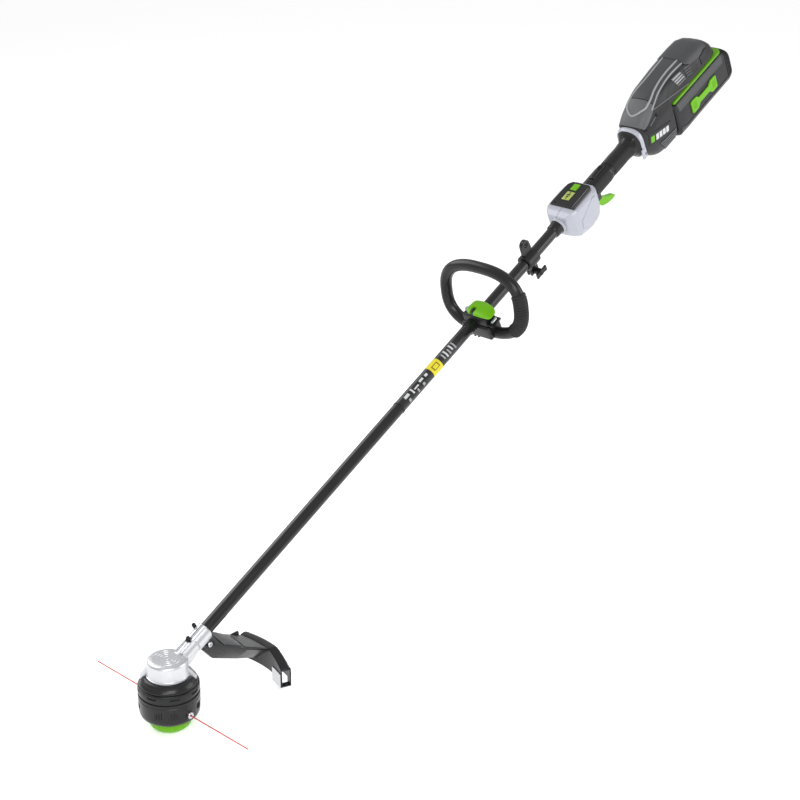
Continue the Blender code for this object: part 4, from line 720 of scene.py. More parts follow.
def loop():
    ring = even_loop(0.0, 2 * math.pi, 144)[:-1]
    tube = sweep(ring, LOOP_RADIUS, 28, True, LEAN_NORMAL)
    saddle = block((0.04, 0.074, 0.033), (CLAMP_MIDDLE, -0.007, -0.0171), None, 0.0045, 4)
    bore = rod(SLIDE_BORE, 0.8, 1.2, ALONG_X, 96)
    tube = minus(union(tube, saddle), bore)
    teeth = [block((0.04, 0.004, 0.003), (CLAMP_MIDDLE, -0.006 + 0.01 * k, -0.034), None, 0.001)
             for k in range(3)]
    emit("loop_handle_moulded", tube, BLACK_SATIN, LOOP, ["loop_handle"], SHAFT, 0.0006, 32.0)
    emit("loop_saddle_ribs", merged(teeth), BLACK, LOOP)
    seam = [point + LEAN_NORMAL * (-LOOP_RADIUS - 0.00002) for point in even_loop(0.0, 2 * math.pi, 144)[:-1]]
    emit("loop_seam_front", sweep(seam, 0.0006, 8, True, LEAN_NORMAL), BLACK, LOOP)

    start = 2 * math.pi * 21 / 48
    end = 2 * math.pi * 30 / 48
    count = 120
    points = even_loop(start, end, count)
    ribs = 17
    radii = []
    for k in range(count + 1):
        phase = (k / count * ribs) % 1.0
        body_radius = LOOP_RADIUS + 0.003
        edge = min(k, count - k) / count
        dip = 0.0011 if phase < 0.3 else 0.0
        radii.append(body_radius - dip - (0.0012 if edge < 0.02 else 0.0))
    emit("loop_grip_ribbed", sweep(points, 0.0, 32, False, LEAN_NORMAL, radii), RUBBER, LOOP, ["loop_grip"],
         SHAFT, angle=50.0)

    cap = block((0.032, 0.062, 0.0225), (CLAMP_MIDDLE, -0.0085, 0.01125), None, 0.0035, 4)
    ear = block((0.01, 0.01, 0.018), (CLAMP_MIDDLE - 0.0105, -0.01, 0.0285), None, 0.0014, 3)
    bridge = block((0.03, 0.02, 0.004), (CLAMP_MIDDLE, -0.045, 0.005), None, 0.0012)
    cap = minus(union(cap, ear, bridge), rod(SLIDE_BORE, 0.8, 1.2, ALONG_X, 96),
                rod(0.0023, -0.02, 0.02, place_on_shaft(CLAMP_MIDDLE - 0.0105, -0.01, 0.033, ALONG_Y), 32))
    emit("loop_clamp_cap_moulded", cap, BLACK, LOOP, ["loop_clamp_cap"], SHAFT, 0.0004)
    for name, across in (("clamp_stud_left", -0.031), ("clamp_stud_right", 0.018)):
        nut = union(rod(0.0025, -0.0405, 0.027, None, 24, 0.0003), rod(0.0048, 0.0228, 0.026, None, 6),
                    rod(0.006, 0.0226, 0.0232, None, 32))
        emit(name + "_nut", nut, STEEL, LOOP, [name], SHAFT @ place_on_shaft(CLAMP_MIDDLE, across, 0.0),
             0.0002)
    barrel = union(rod(0.0038, -0.007, 0.007, place_on_shaft(CLAMP_MIDDLE, -0.047, 0.009, ALONG_X), 32,
                       0.0006),
                   rod(0.0022, -0.009, 0.009, place_on_shaft(CLAMP_MIDDLE, -0.047, 0.009, ALONG_X), 32,
                       0.0003))
    emit("loop_side_barrel", barrel, STEEL, LOOP)

    rows = []
    for across, front, back, low, high in blended((
            (-0.058, -0.014, 0.0, 0.0312, 0.0328), (-0.0555, -0.0175, 0.005, 0.03, 0.035),
            (-0.048, -0.0195, 0.012, 0.029, 0.0375), (-0.034, -0.0205, 0.017, 0.029, 0.0385),
            (-0.02, -0.0205, 0.02, 0.029, 0.0388), (-0.006, -0.019, 0.02, 0.029, 0.0382),
            (0.004, -0.016, 0.018, 0.0295, 0.037), (0.008, -0.011, 0.014, 0.0308, 0.035)), 3):
        middle = (front + back) / 2
        half = (back - front) / 2
        level = (low + high) / 2
        thick = (high - low) / 2
        ring_points = []
        for k in range(32):
            turn = 2 * math.pi * k / 32
            x = soften(math.cos(turn), 0.5) * half
            z = soften(math.sin(turn), 0.6) * thick
            ring_points.append((CLAMP_MIDDLE + middle + x, across, level + z))
        rows.append(ring_points)
    lever = minus(loft(rows), block((0.028, 0.0112, 0.03), (CLAMP_MIDDLE - 0.0165, -0.01, 0.033)))
    lever = union(lever, rod(0.0022, -0.008, 0.008,
                             place_on_shaft(CLAMP_MIDDLE - 0.0105, -0.01, 0.033, ALONG_Y), 32))
    emit("clamp_lever_moulded", lever, GREEN, "quick_lever", ["clamp_lever"], SHAFT, 0.0005, 40.0)


# ---------------------------------------------------------------- harness hanger
def hanger():
    low = 1.17
    high = 1.206
    middle = (low + high) / 2
    collar = rod(0.0188, low, high, ALONG_X, 72, 0.0018)
    outline = [(middle - 0.013, 0.012), (middle - 0.0128, 0.03)]
    for k in range(25):
        turn = math.radians(168.0 - 156.0 * k / 24)
        outline.append((middle + 0.012 * math.cos(turn), 0.04 + 0.012 * math.sin(turn)))
    outline += [(middle + 0.0128, 0.03), (middle + 0.013, 0.012)]
    eye = prism(outline, -0.0045, 0.0045)
    ears = [block((0.026, 0.006, 0.024), (middle, side * 0.0042, -0.0248), None, 0.002, 3)
            for side in (-1, 1)]
    whole = union(collar, eye, *ears)
    whole = minus(whole, rod(0.0062, -0.02, 0.02, place_on_shaft(middle, 0.0, 0.0405, ALONG_Y), 48),
                  rod(SLIDE_BORE, low - 0.01, high + 0.01, ALONG_X, 96),
                  block((0.06, 0.0024, 0.05), (middle, 0.0, -0.033)),
                  rod(0.0035, -0.03, 0.03, place_on_shaft(middle, 0.0, -0.03, ALONG_Y), 32))
    emit("harness_clamp_moulded", whole, BLACK_SATIN, "hanger", ["harness_clamp"], SHAFT, 0.0008, 30.0)
    spot = place_on_shaft(middle, 0.0, -0.03) @ Matrix.Rotation(math.pi, 4, "Z")
    hub = moved(rod(0.0075, 0.0078, 0.0262, ALONG_Y, 40, 0.0012), spot)
    stud = moved(rod(0.003, -0.012, 0.01, ALONG_Y, 32, 0.0003), spot)
    wings = []
    tip = 0.0262
    for side in (-1, 1):
        wing = loft([[(side * reach, root, -half), (side * reach, tip, -half), (side * reach, tip, half),
                      (side * reach, root, half)]
                     for reach, root, half in ((0.003, 0.0218, 0.005), (0.0165, 0.0222, 0.0064))])
        wings.append(moved(wing, spot))
    knob = union(hub, stud, *wings)
    emit("wing_knob_moulded", knob, BLACK, "hanger_knob", ["wing_knob"], SHAFT, 0.001, 30.0)


# ---------------------------------------------------------------- control pod
def pod():
    collar = lathe([(0.0133, 1.3017), (0.017, 1.3017), (0.017, 1.295), (0.016, 1.29), (0.0157, 1.281),
                    (0.015, 1.278), (0.0133, 1.2762)], 96, closed=True)
    emit("pod_collar_moulded", collar, BLACK_SATIN, BODY_ROOT, ["pod_collar"], SHAFT @ ALONG_X)
    rim = lathe([(0.0172, 1.3017), (0.0206, 1.3017), (0.02, 1.298), (0.0184, 1.2962), (0.0172, 1.2962)], 96,
                closed=True)
    emit("pod_front_rim", rim, SILVER, place=SHAFT @ ALONG_X)
    start = 1.302
    rows = ((start, 0.0225, -0.0225, 0.02), (start + 0.002, 0.0262, -0.027, 0.0235),
            (start + 0.014, 0.036, -0.038, 0.0282), (start + 0.026, 0.0415, -0.0446, 0.0298),
            (start + 0.048, 0.042, -0.049, 0.0298), (start + 0.07, 0.042, -0.052, 0.0298),
            (start + 0.09, 0.0402, -0.0502, 0.0298), (start + 0.103, 0.034, -0.043, 0.0288),
            (start + 0.111, 0.029, -0.036, 0.0265), (start + 0.1137, 0.0262, -0.0325, 0.025))

    def pod_section(row):
        s, w, low, high = row
        c = min(0.01, w * 0.34)
        d = min(0.018, (high - low) * 0.28)
        return [(s, w - 0.005, high), (s, w, high - 0.0055), (s, w, low + d), (s, w - c, low + 0.0015),
                (s, w - c - 0.004, low), (s, -w + c + 0.004, low), (s, -w + c, low + 0.0015),
                (s, -w, low + d), (s, -w, high - 0.0055), (s, -w + 0.005, high)]

    for side, name in SIDES:
        shell = loft([pod_section(row) for row in rows])
        shell = minus(shell, other_half(side, (0.3, 0.2, 0.2), 1.36),
                      rod(TUBE_RADIUS + 0.0003, 1.28, 1.44, ALONG_X, 72),
                      block((0.04, 0.014, 0.03), (1.414, 0.0, -0.04)))
        emit("pod_shell_%s_silver" % name, shell, SILVER, BODY_ROOT, ["pod_shell_" + name], SHAFT, 0.0014,
             12.0, 2)
        # raised flat shield on the side
        outline = [(1.333, -0.003), (1.38, 0.0225), (1.393, 0.0205), (1.397, 0.008), (1.394, -0.021),
                   (1.376, -0.034), (1.342, -0.033), (1.33, -0.02)]
        near = 0.0414 * side
        shield = prism(outline, near, near + 0.0014 * side)
        emit("pod_side_shield_" + name, shield, SILVER, bevel=0.0006, angle=30.0, steps=3)

    top = 0.0301
    outline = [(1.328, -0.0325), (1.328, 0.0325), (1.396, 0.031), (1.406, 0.0225), (1.406, -0.0225),
               (1.396, -0.031)]
    panel = loft([[(x, y, top) for x, y in outline],
                  [(x + (0.0015 if x < 1.33 else -0.001), y * 0.955, top + 0.0042) for x, y in outline]])
    holes = [block((0.0276, 0.0211, 0.02), (1.3615, 0.00525, top)),
             block((0.0211, 0.0171, 0.02), (1.38975, 0.00525, top))]
    frame_groove = minus(block((0.06, 0.026, 0.001), (1.374, 0.00525, top + 0.0042), None, 0.0003, 1),
                         block((0.0588, 0.0248, 0.02), (1.374, 0.00525, top)))
    panel = minus(panel, *holes, frame_groove)
    emit("pod_top_panel_moulded", panel, BLACK_SATIN, BODY_ROOT, ["pod_top_panel"], SHAFT, 0.0006, 25.0, 3)
    # grey sloping border along the panel's operator's-left edge
    border = loft([[(1.329, -0.0318, top + 0.001), (1.3975, -0.0302, top + 0.001),
                    (1.3975, -0.025, top + 0.0046), (1.331, -0.0262, top + 0.0046)],
                   [(1.329, -0.0316, top - 0.0005), (1.3975, -0.03, top - 0.0005),
                    (1.3975, -0.024, top + 0.0034), (1.331, -0.025, top + 0.0034)]])
    emit("pod_panel_border", border, PIPING, bevel=0.0003)
    for name, x, y in (("a", 1.3345, -0.0225), ("b", 1.3345, 0.0235)):
        emit("pod_panel_screw_" + name, cap_screw(0.0024, 0.0009, 0.45), DARK_STEEL,
             place=SHAFT @ place_on_shaft(x, y, top + 0.004))
    lens = block((0.027, 0.0205, 0.0035), (1.3615, 0.00525, top + 0.0021), None, 0.0006, 3)
    emit("display_lens", lens, LCD, BODY_ROOT, ["display_window"])
    marks = []
    for k in range(4):
        marks.append(block((0.004, 0.0034 + 0.0028 * (k % 3), 0.0002),
                           (1.353 + 0.0058 * k, 0.006, top + 0.00392)))
    emit("display_segments", merged(marks), LABEL_BLACK)
    button = block((0.0199, 0.0159, 0.0044), (1.38975, 0.00525, top + 0.0037), None, 0.0014, 4)
    emit("power_button_moulded", button, GREEN, "start_button", ["power_button"])


# ---------------------------------------------------------------- rear handle, trigger
def grip():
    start = 1.4163
    rows = ((start, 0.0212, -0.0227, 0.0197), (1.47, 0.0212, -0.0227, 0.0197),
            (1.4885, 0.0211, -0.0226, 0.0196), (1.4925, 0.0196, -0.0211, 0.0181),
            (1.53, 0.0195, -0.021, 0.018), (1.562, 0.0196, -0.0212, 0.0182),
            (1.578, 0.0232, -0.0252, 0.0222), (1.588, 0.0276, -0.0292, 0.0262))

    def grip_form(grow=0.0):
        return body(rows, grow, 2.15, 64, 5)

    for side, name in SIDES:
        shell = grip_form()
        shell = union(shell, block((0.028, 0.023, 0.022), (start + 0.014, 0.0, -0.025), None, 0.0025, 3))
        shell = minus(
            shell, other_half(side, (0.3, 0.1, 0.1), 1.5),
            rod(0.0155, 1.428, 1.6, ALONG_X, 48), rod(TUBE_RADIUS + 0.0003, 1.4, 1.434, ALONG_X, 64),
            block((0.072, 0.014, 0.05), (1.456, 0.0, -0.04)),
            block((0.052, 0.013, 0.03), (1.464, 0.0, 0.027)))
        emit("rear_handle_%s_moulded" % name, shell, BLACK_SATIN, BODY_ROOT, ["rear_handle_" + name], SHAFT,
             0.0005, 30.0)
        # soft panel along the side of each half, and a short one ahead of the step
        long_panel = [(1.5, -0.013), (1.5, 0.01), (1.504, 0.013), (1.566, 0.013), (1.574, 0.006),
                      (1.574, -0.01), (1.566, -0.016), (1.504, -0.016)]
        short_panel = [(1.424, -0.01), (1.424, 0.012), (1.43, 0.014), (1.478, 0.014), (1.484, 0.008),
                       (1.484, -0.008), (1.478, -0.014), (1.43, -0.014)]
        for label, outline, lift in (("long", long_panel, 0.0007), ("short", short_panel, 0.0006)):
            skin = common(grip_form(lift), prism(outline, 0.01 * side, 0.04 * side))
            skin = minus(skin, grip_form(-0.0012))
            emit("rear_handle_%s_panel_%s" % (label, name), skin, RUBBER, bevel=0.0003, angle=40.0)

    for k in range(3):
        ring = minus(body(((1.4935 + 0.0022 * k, 0.0199, -0.0214, 0.0184),
                           (1.4947 + 0.0022 * k, 0.0199, -0.0214, 0.0184)),
                          0.0, 2.15, 64, 1), rod(0.0175, 1.48, 1.51, ALONG_X, 48))
        emit("rear_handle_step_rib_%d" % k, ring, BLACK, bevel=0.0002)

    arm = [(1.429, -0.0235), (1.437, -0.025), (1.443, -0.0315), (1.448, -0.0365), (1.454, -0.0418),
           (1.46, -0.0462), (1.467, -0.0506), (1.474, -0.0545), (1.4815, -0.0585), (1.488, -0.0618),
           (1.4908, -0.065), (1.49, -0.0682), (1.487, -0.0695), (1.479, -0.0697), (1.47, -0.0687),
           (1.462, -0.067), (1.455, -0.0648), (1.449, -0.0625), (1.443, -0.0596), (1.4395, -0.055),
           (1.4365, -0.05), (1.4335, -0.0445), (1.4308, -0.0385), (1.428, -0.031), (1.4275, -0.026)]
    trigger = prism(arm, -0.006, 0.006)
    trigger = minus(trigger, rod(0.0017, -0.02, 0.02, place_on_shaft(1.432, 0.0, -0.026, ALONG_Y), 32))
    emit("trigger_moulded", trigger, GREEN, "throttle_trigger", ["trigger"], SHAFT, 0.0014, 50.0, 4)
    lock = loft([oval(s, 0.0058, low, high, 3.0, 32) for s, low, high in (
        (1.44, 0.015, 0.0205), (1.4415, 0.0146, 0.0218), (1.446, 0.0143, 0.0228), (1.46, 0.0148, 0.0236),
        (1.48, 0.0155, 0.0238), (1.4845, 0.016, 0.023), (1.486, 0.0168, 0.0215))])
    bars = [block((0.0012, 0.01, 0.0012), (1.47 + 0.003 * k, 0.0, 0.024), None, 0.0003, 1) for k in range(4)]
    emit("lock_off_lever_moulded", merged([lock] + bars), BLACK, "lock_off", ["lock_off_lever"], SHAFT)


# ---------------------------------------------------------------- rear housing
HOUSING = (
    (1.5993, 0.031, -0.036, 0.036), (1.6073, 0.034, -0.044, 0.046), (1.6293, 0.038, -0.062, 0.06),
    (1.6543, 0.04, -0.072, 0.07), (1.6843, 0.042, -0.072, 0.078), (1.7493, 0.043, -0.072, 0.084),
    (1.8543, 0.043, -0.072, 0.084), (1.886, 0.041, -0.072, 0.073), (1.9, 0.037, -0.072, 0.06),
    (1.906, 0.033, -0.072, 0.052))
BAY_FRONT = 1.708
BAY_TOP = 0.0323


def housing_height(station, across):
    """The top of the housing's surface at a place along it and across it."""
    for low, high in zip(HOUSING, HOUSING[1:]):
        if station <= high[0]:
            break
    t = (station - low[0]) / (high[0] - low[0])
    half_width, bottom, top = [a + (b - a) * t for a, b in zip(low[1:], high[1:])]
    share = max(0.0, 1.0 - abs(across / half_width) ** SQUARENESS) ** (1 / SQUARENESS)
    return (top + bottom) / 2 + (top - bottom) / 2 * share


def housing_skin(name, outline, lift, depth, paint, side, bevel=0.0004, angle=35.0):
    """A raised patch of the housing's own surface, bounded by an outline seen from the side."""
    reach = (0.004 * side, 0.07 * side) if side else (-0.07, 0.07)
    skin = common(body(HOUSING, lift), prism(outline, *reach))
    skin = minus(skin, body(HOUSING, -depth))
    emit(name, skin, paint, bevel=bevel, angle=angle)


def housing():
    collar = body(((1.5883, 0.03, -0.033, 0.033), (1.5895, 0.0322, -0.0362, 0.0362),
                   (1.597, 0.0333, -0.0383, 0.0383), (1.599, 0.0328, -0.0378, 0.0378)), 0.0, 3.0, 72, 2)
    collar = minus(collar, rod(0.0185, 1.57, 1.62, ALONG_X, 48))
    emit("rear_collar_silver", collar, SILVER, BODY_ROOT, ["rear_collar"], SHAFT, 0.0004)
    flare = body(((1.58, 0.024, -0.0262, 0.0232), (1.585, 0.0275, -0.0305, 0.0285),
                  (1.5885, 0.0312, -0.035, 0.0345)), 0.0, 2.6, 72, 4)
    flare = minus(flare, body(((1.57, 0.0215, -0.0235, 0.0205), (1.578, 0.0233, -0.0254, 0.0224),
                               (1.59, 0.0284, -0.03, 0.027)), 0.0, 2.15, 64, 3))
    emit("rear_handle_flare", flare, BLACK_SATIN, bevel=0.0003)
    for side, name in SIDES:
        lug = block((0.015, 0.004, 0.026), (1.591, side * 0.0324, -0.0215), None, 0.0016, 3)
        emit("collar_lug_" + name, lug, SILVER)
        emit("collar_screw_" + name, cap_screw(0.0028, 0.0012), DARK_STEEL,
             place=SHAFT @ place_on_shaft(1.5937, side * 0.0335, -0.0235, facing(side)))

    for side, name in SIDES:
        shell = body(HOUSING)
        shell = minus(
            shell, block((0.3, 0.2, 0.2), (BAY_FRONT + 0.15, 0.0, BAY_TOP - 0.1)),
            block((0.4, 0.073, 0.023), (BAY_FRONT + 0.209, 0.0, BAY_TOP)),
            body(tuple((s, w - 0.003, low + 0.003, high - 0.003) for s, w, low, high in (
                (HOUSING[0][0] + 0.003, *HOUSING[0][1:]), *HOUSING[1:-1],
                (HOUSING[-1][0] - 0.003, *HOUSING[-1][1:])))),
            other_half(side, (0.5, 0.2, 0.3), 1.75))
        emit("housing_%s_moulded" % name, shell, CHARCOAL, BODY_ROOT, ["housing_" + name], SHAFT, 0.0006,
             30.0)

        # vent field: a dark patch under the shoulder with short light slats along it
        field = [(1.698, 0.05), (1.732, 0.0745), (1.78, 0.0755), (1.828, 0.061), (1.828, 0.04),
                 (1.75, 0.04)]
        housing_skin("vent_field_" + name, field, 0.0003, 0.001, BLACK, side, 0.0001)
        for k in range(4):
            z = 0.0735 - 0.0062 * k
            x = 1.738 + 0.002 * k
            slat = [(x, z), (x + 0.03, z - 0.001), (x + 0.033, z - 0.0044), (x + 0.001, z - 0.0036)]
            housing_skin("vent_slat_%d_%s" % (k, name), slat, 0.0024, 0.0004, PIPING if k < 3 else GREY_LIGHT,
                         side, 0.0006)
            x = 1.782
            slat = [(x, z - 0.001), (x + 0.02, z - 0.005), (x + 0.02, z - 0.0084), (x, z - 0.0044)]
            housing_skin("vent_rear_slat_%d_%s" % (k, name), slat, 0.0018, 0.0004, GREY, side, 0.0006)
        # raised light piping over the shoulder of the cover, and a second line inside it
        for label, path, radius, lift in (
                ("outer", ((1.618, 0.0), (1.62, -0.006), (1.627, -0.015), (1.64, -0.0235), (1.652, -0.025),
                           (1.665, -0.0248), (1.69, -0.021), (1.716, -0.018), (1.753, -0.0175),
                           (1.8035, -0.02), (1.835, -0.025)), 0.0024, 0.0024),
                ("inner", ((1.648, -0.034), (1.6625, -0.033), (1.693, -0.03), (1.724, -0.028),
                           (1.7605, -0.0285), (1.79, -0.03)), 0.002, 0.0026)):
            line = [(x, -side * y, housing_height(x, y) + lift) for x, y in blended(path, 5)]
            emit("cover_piping_%s_%s" % (label, name), sweep(line, radius, 12), PIPING)
        # seam from the piping's lower corner down to the battery
        seam = [(1.645, 0.056), (1.68, 0.0525), (1.7156, 0.047), (1.75, 0.04), (1.7825, 0.033)]
        housing_skin("side_seam_" + name, seam + [(x, z - 0.0022) for x, z in seam[::-1]], 0.001, 0.0006,
                     GREY_LIGHT, side, 0.0003)
        side_panel = [(1.618, -0.015), (1.642, 0.018), (1.662, 0.024), (1.704, 0.025), (1.704, 0.044),
                      (1.67, 0.05), (1.644, 0.052), (1.626, 0.042), (1.612, 0.024)]
        housing_skin("side_panel_" + name, side_panel, 0.0007, 0.0008, BLACK, side, 0.0004)
        light = [(1.626, 0.03), (1.656, 0.042), (1.656, 0.0396), (1.628, 0.028)]
        housing_skin("side_highlight_" + name, light, 0.0016, 0.0004, GREY_LIGHT, side, 0.0003)
        # blank badge on the hump: a green block and light bars, no lettering
        badge = [(1.61, -0.016), (1.686, -0.029), (1.692, -0.004), (1.616, 0.011)]
        housing_skin("badge_plate_" + name, badge, 0.0011, 0.0008, CHARCOAL, side, 0.0005)
        green = [(1.6165, -0.012), (1.6275, -0.0138), (1.631, 0.001), (1.62, 0.003)]
        housing_skin("badge_green_" + name, green, 0.0015, 0.0004, GREEN, side, 0.0001)
        for k in range(4):
            x = 1.633 + 0.0118 * k
            z = -0.0148 - 0.002 * k
            bar = [(x, z), (x + 0.0092, z - 0.0016), (x + 0.0122, z + 0.0124), (x + 0.003, z + 0.014)]
            housing_skin("badge_light_%d_%s" % (k, name), bar, 0.0014, 0.0004, LABEL_WHITE, side, 0.0001)
        for k in range(5):
            z = -0.033 - 0.0066 * k
            rib = [(1.644 + 0.004 * k, z), (1.704, z - 0.002), (1.704, z - 0.0056),
                   (1.644 + 0.004 * k, z - 0.0036)]
            housing_skin("hump_rib_%d_%s" % (k, name), rib, 0.0018, 0.0006, GREY_LIGHT, side, 0.0006)
        for label, station, height, reach in (("front", 1.614, 0.026, 0.0352),
                                              ("rear", 1.6545, 0.038, 0.0394)):
            boss = rod(0.0056, -0.003, 0.0008, None, 32, 0.0006)
            emit("housing_screw_boss_%s_%s" % (label, name), boss, CHARCOAL,
                 place=SHAFT @ place_on_shaft(station, side * reach, height, facing(side)))
            emit("housing_screw_%s_%s" % (label, name), cap_screw(0.0038, 0.0018), DARK_STEEL,
                 place=SHAFT @ place_on_shaft(station, side * (reach + 0.0004), height, facing(side)))

    # upper cover: a raised skin over the spine in two lengths with a gap between, and a crest
    front_cover = [(1.601, 0.04), (1.601, 0.09), (1.658, 0.09), (1.658, 0.058), (1.634, 0.043),
                   (1.623, 0.036), (1.61, 0.03)]
    housing_skin("cover_front", front_cover, 0.0016, 0.0012, GREY_LIGHT, 0, 0.0008)
    rear_cover = [(1.6596, 0.059), (1.6596, 0.095), (1.878, 0.095), (1.878, 0.064), (1.826, 0.078),
                  (1.735, 0.079), (1.7, 0.0755)]
    housing_skin("cover_rear", rear_cover, 0.0022, 0.0012, GREY, 0, 0.001)
    crest = [(1.79, 0.096), (1.86, 0.096), (1.86, 0.07), (1.84, 0.064), (1.805, 0.069), (1.79, 0.078)]
    housing_skin("cover_crest", crest, 0.0038, 0.001, GREY, 0, 0.0012)
    for side, name in SIDES:
        rear_panel = [(1.842, 0.04), (1.898, 0.04), (1.898, 0.056), (1.874, 0.064), (1.842, 0.06)]
        housing_skin("rear_panel_" + name, rear_panel, 0.0014, 0.0008, BLACK, side, 0.0006)
    dock = block((0.181, 0.078, 0.0145), (1.8025, 0.0, 0.03955), None, 0.001)
    dock = common(dock, body(HOUSING, -0.0033))
    dock = minus(dock, block((0.4, 0.073, 0.023), (1.917, 0.0, BAY_TOP)))
    emit("dock_plate_moulded", dock, BLACK, BODY_ROOT, ["dock_plate"])


# ---------------------------------------------------------------- battery
BATTERY_FRONT = 1.712
BATTERY_LENGTH = 0.243
BATTERY_HALF_WIDTH = 0.046
BATTERY_LOW = -0.07
BATTERY_TOP = 0.0195
SKIN_DEPTH = 0.0008


def battery():
    front = BATTERY_FRONT
    back = front + BATTERY_LENGTH
    wide = BATTERY_HALF_WIDTH
    low = BATTERY_LOW
    top = BATTERY_TOP
    rows = ((front, wide - 0.004, low + 0.005, top), (front + 0.004, wide, low, top),
            (front + 0.1, wide, low, top), (back - 0.036, wide, low, top),
            (back - 0.022, wide - 0.001, low + 0.001, top - 0.004),
            (back - 0.009, wide - 0.005, low + 0.006, top - 0.017),
            (back, wide - 0.012, low + 0.016, top - 0.035))

    def case_form(grow=0.0):
        return body(rows, grow, 5.0, 72, 3)

    def case_skin(cutter, lift):
        return minus(common(case_form(lift), cutter), case_form(-SKIN_DEPTH))

    case = case_form()
    bone = [(-0.052, -0.0135), (-0.047, -0.015), (-0.03, -0.015), (-0.0235, -0.01), (-0.02, -0.007),
            (0.02, -0.007), (0.0235, -0.01), (0.03, -0.015), (0.047, -0.015), (0.052, -0.0135),
            (0.052, 0.0135), (0.047, 0.015), (0.03, 0.015), (0.0235, 0.01), (0.02, 0.007), (-0.02, 0.007),
            (-0.0235, 0.01), (-0.03, 0.015), (-0.047, 0.015), (-0.052, 0.0135)]
    middle = front + 0.108
    height = -0.026

    def bone_prism(grow, near, far):
        outline = [(middle + x * (1 + grow / 0.052), height + z * (1 + grow / 0.0145)) for x, z in bone]
        return prism(outline, near, far)

    case = minus(case, bone_prism(0.0018, -0.07, -0.041), bone_prism(0.0018, 0.041, 0.07),
                 block((0.2, 0.08, 0.08), (front + 0.108, 0.0, -0.024)))
    emit("battery_case_moulded", case, CHARCOAL, BATTERY, ["battery_case"], SHAFT, 0.0008, 30.0)

    strip = loft([oval(s, w, top + 0.0003, top + 0.0085, 7.0, 56) for s, w in (
        (front + 0.004, wide - 0.003), (front + 0.006, wide - 0.0015), (back - 0.046, wide - 0.0015),
        (back - 0.04, wide - 0.004),
        (back - 0.036, wide - 0.008))])
    emit("battery_strip_moulded", strip, GREEN_DARK, BATTERY, ["battery_strip"], SHAFT, 0.0005, 30.0)
    rail = block((0.173, 0.072, 0.0137), (front + 0.1025, 0.0, 0.0351), None, 0.0015, 3)
    emit("battery_rail_moulded", rail, BLACK_SATIN, BATTERY, ["battery_rail"])
    for side, name in SIDES:
        near = side * (wide - 0.0025)
        latch = bone_prism(0.001, near, side * (wide + 0.0035))
        emit("battery_latch_%s_moulded" % name, latch, GREEN, "latch_" + name, ["battery_latch_" + name],
             SHAFT, 0.0012, 40.0, 4)
        ribs = []
        for end in (-1, 1):
            for k in range(4):
                ribs.append(block((0.0011, 0.0012, 0.018),
                                  (middle + end * (0.0355 + 0.0034 * k), side * (wide + 0.0036), height),
                                  None, 0.0003, 1))
        emit("battery_latch_%s_ribs" % name, merged(ribs), GREEN, "latch_" + name)
        bezel = minus(bone_prism(0.0042, side * (wide - 0.001), side * (wide + 0.0009)),
                      bone_prism(0.0018, side * (wide - 0.01), side * (wide + 0.01)))
        emit("battery_latch_bezel_" + name, bezel, BLACK_SATIN, BATTERY, bevel=0.0003)
        # raised border along the lower edge and a flat panel above it
        lower = case_skin(prism([(front + 0.006, -0.08), (back + 0.01, -0.08), (back + 0.01, -0.052),
                                 (front + 0.03, -0.052), (front + 0.006, -0.044)],
                                0.004 * side, 0.06 * side), 0.001)
        emit("battery_lower_border_" + name, lower, BLACK_SATIN, BATTERY, bevel=0.0005, angle=35.0)
        panel = case_skin(prism([(front + 0.012, -0.005), (back - 0.045, -0.005), (back - 0.04, 0.014),
                                 (front + 0.012, 0.014)], 0.004 * side, 0.06 * side), 0.0006)
        emit("battery_side_panel_" + name, panel, GREY, BATTERY, bevel=0.0004, angle=35.0)
    grooves = []
    for k in range(4):
        x = back - 0.03 + 0.0062 * k
        grooves.append(case_skin(block((0.0022, 0.2, 0.2), (x, 0.0, 0.0)), 0.0012))
    emit("battery_end_ribs", merged(grooves), BLACK, BATTERY, bevel=0.0003, angle=35.0)


# ---------------------------------------------------------------- build and finish
def paint_nodes():
    """Inner pieces keep their CAD shape and take a finish."""
    finish = {
        "motor_stator": COPPER, "upper_bearing": STEEL, "lower_bearing": STEEL, "power_cable": RUBBER,
        "motor_rotor": STEEL, "bump_spring": STEEL, "line_spool": GREY, "wound_line": LINE_RED,
        "spring_cup": STEEL,
        "pod_circuit_board": BOARD, "trigger_pin": STEEL, "trigger_switch": BLACK, "lock_off_pin": STEEL,
        "dock_terminals": COPPER, "controller_board": BOARD, "heat_sink": ALLOY, "battery_cells": BLACK,
    }
    for name, paint in finish.items():
        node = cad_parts[name]
        node.data.materials.clear()
        node.data.materials.append(paint)


paint_nodes()
motor()
cutting_head()
shaft()
guard()
loop()
hanger()
pod()
grip()
housing()
battery()


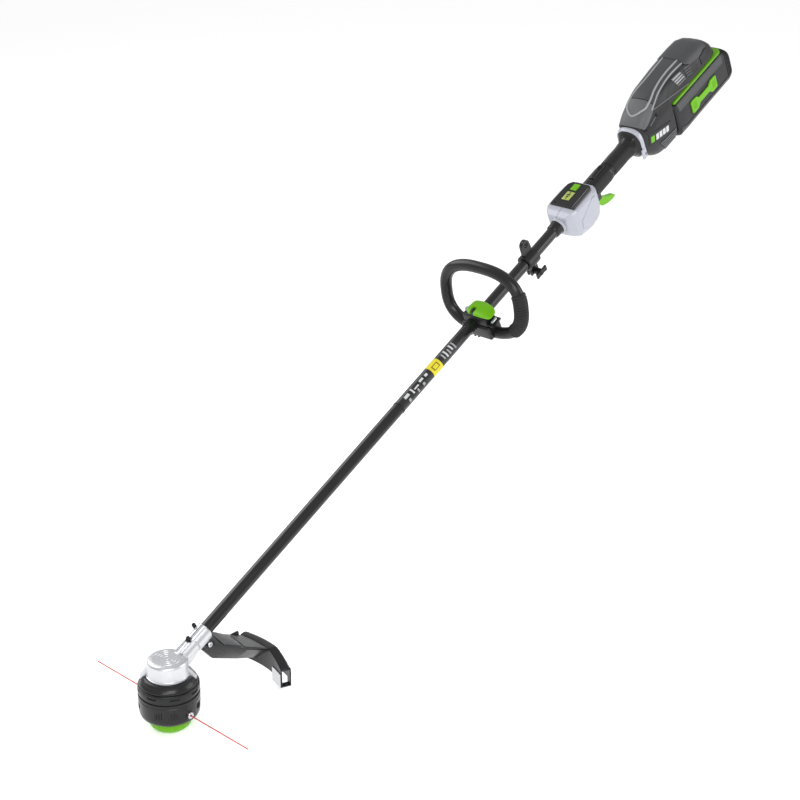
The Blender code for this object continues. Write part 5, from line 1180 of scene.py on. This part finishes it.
# ---------------------------------------------------------------- floor, lights, camera
def stage():
    floor_mesh = bpy.data.meshes.new("floor")
    reach = 30.0
    floor_mesh.from_pydata([(-reach, -reach, 0.0), (reach, -reach, 0.0), (reach, reach, 0.0),
                            (-reach, reach, 0.0)], [],
                           [(0, 1, 2, 3)])
    floor = bpy.data.objects.new("floor", floor_mesh)
    bpy.context.scene.collection.objects.link(floor)
    floor.location.z = -0.0008
    pale = bpy.data.materials.new("pale_floor")
    pale.use_nodes = True
    surface = pale.node_tree.nodes["Principled BSDF"]
    surface.inputs["Base Color"].default_value = (0.9, 0.9, 0.9, 1.0)
    surface.inputs["Roughness"].default_value = 0.9
    surface.inputs["Emission Color"].default_value = (1.0, 1.0, 1.0, 1.0)
    surface.inputs["Emission Strength"].default_value = 0.32
    floor_mesh.materials.append(pale)

    world = bpy.data.worlds.new("studio")
    world.use_nodes = True
    world.node_tree.nodes["Background"].inputs["Color"].default_value = (1.0, 1.0, 1.0, 1.0)
    world.node_tree.nodes["Background"].inputs["Strength"].default_value = 0.7
    bpy.context.scene.world = world
    bpy.context.scene.view_settings.view_transform = "Standard"

    for name, spot, aim, size, power in (
            ("key", (-1.4, -2.6, 2.8), (0.8, 0.0, 0.4), 1.8, 62.0),
            ("fill", (2.8, -2.2, 1.6), (1.0, 0.0, 0.5), 2.0, 34.0),
            ("rim", (0.2, 2.8, 2.6), (0.9, 0.0, 0.5), 2.4, 58.0),
            ("head", (-1.6, -1.2, 1.1), (0.0, 0.0, 0.08), 0.7, 9.0)):
        lamp = bpy.data.lights.new(name, "AREA")
        lamp.size = size
        lamp.energy = power
        holder = bpy.data.objects.new(name, lamp)
        bpy.context.scene.collection.objects.link(holder)
        holder.location = spot
        holder.rotation_mode = "QUATERNION"
        holder.rotation_quaternion = (Vector(aim) - Vector(spot)).to_track_quat("-Z", "Y")

    view = bpy.data.cameras.new("camera")
    view.lens = 81.0
    view.sensor_width = 36.0
    view.clip_start = 0.05
    view.clip_end = 100.0
    view.dof.use_dof = False
    camera = bpy.data.objects.new("camera", view)
    bpy.context.scene.collection.objects.link(camera)
    camera.location = (-1.8559, -2.2315, 1.8702)
    camera.rotation_euler = (math.radians(90.0 - 22.88), 0.0, math.radians(-48.25))
    bpy.context.scene.camera = camera


stage()
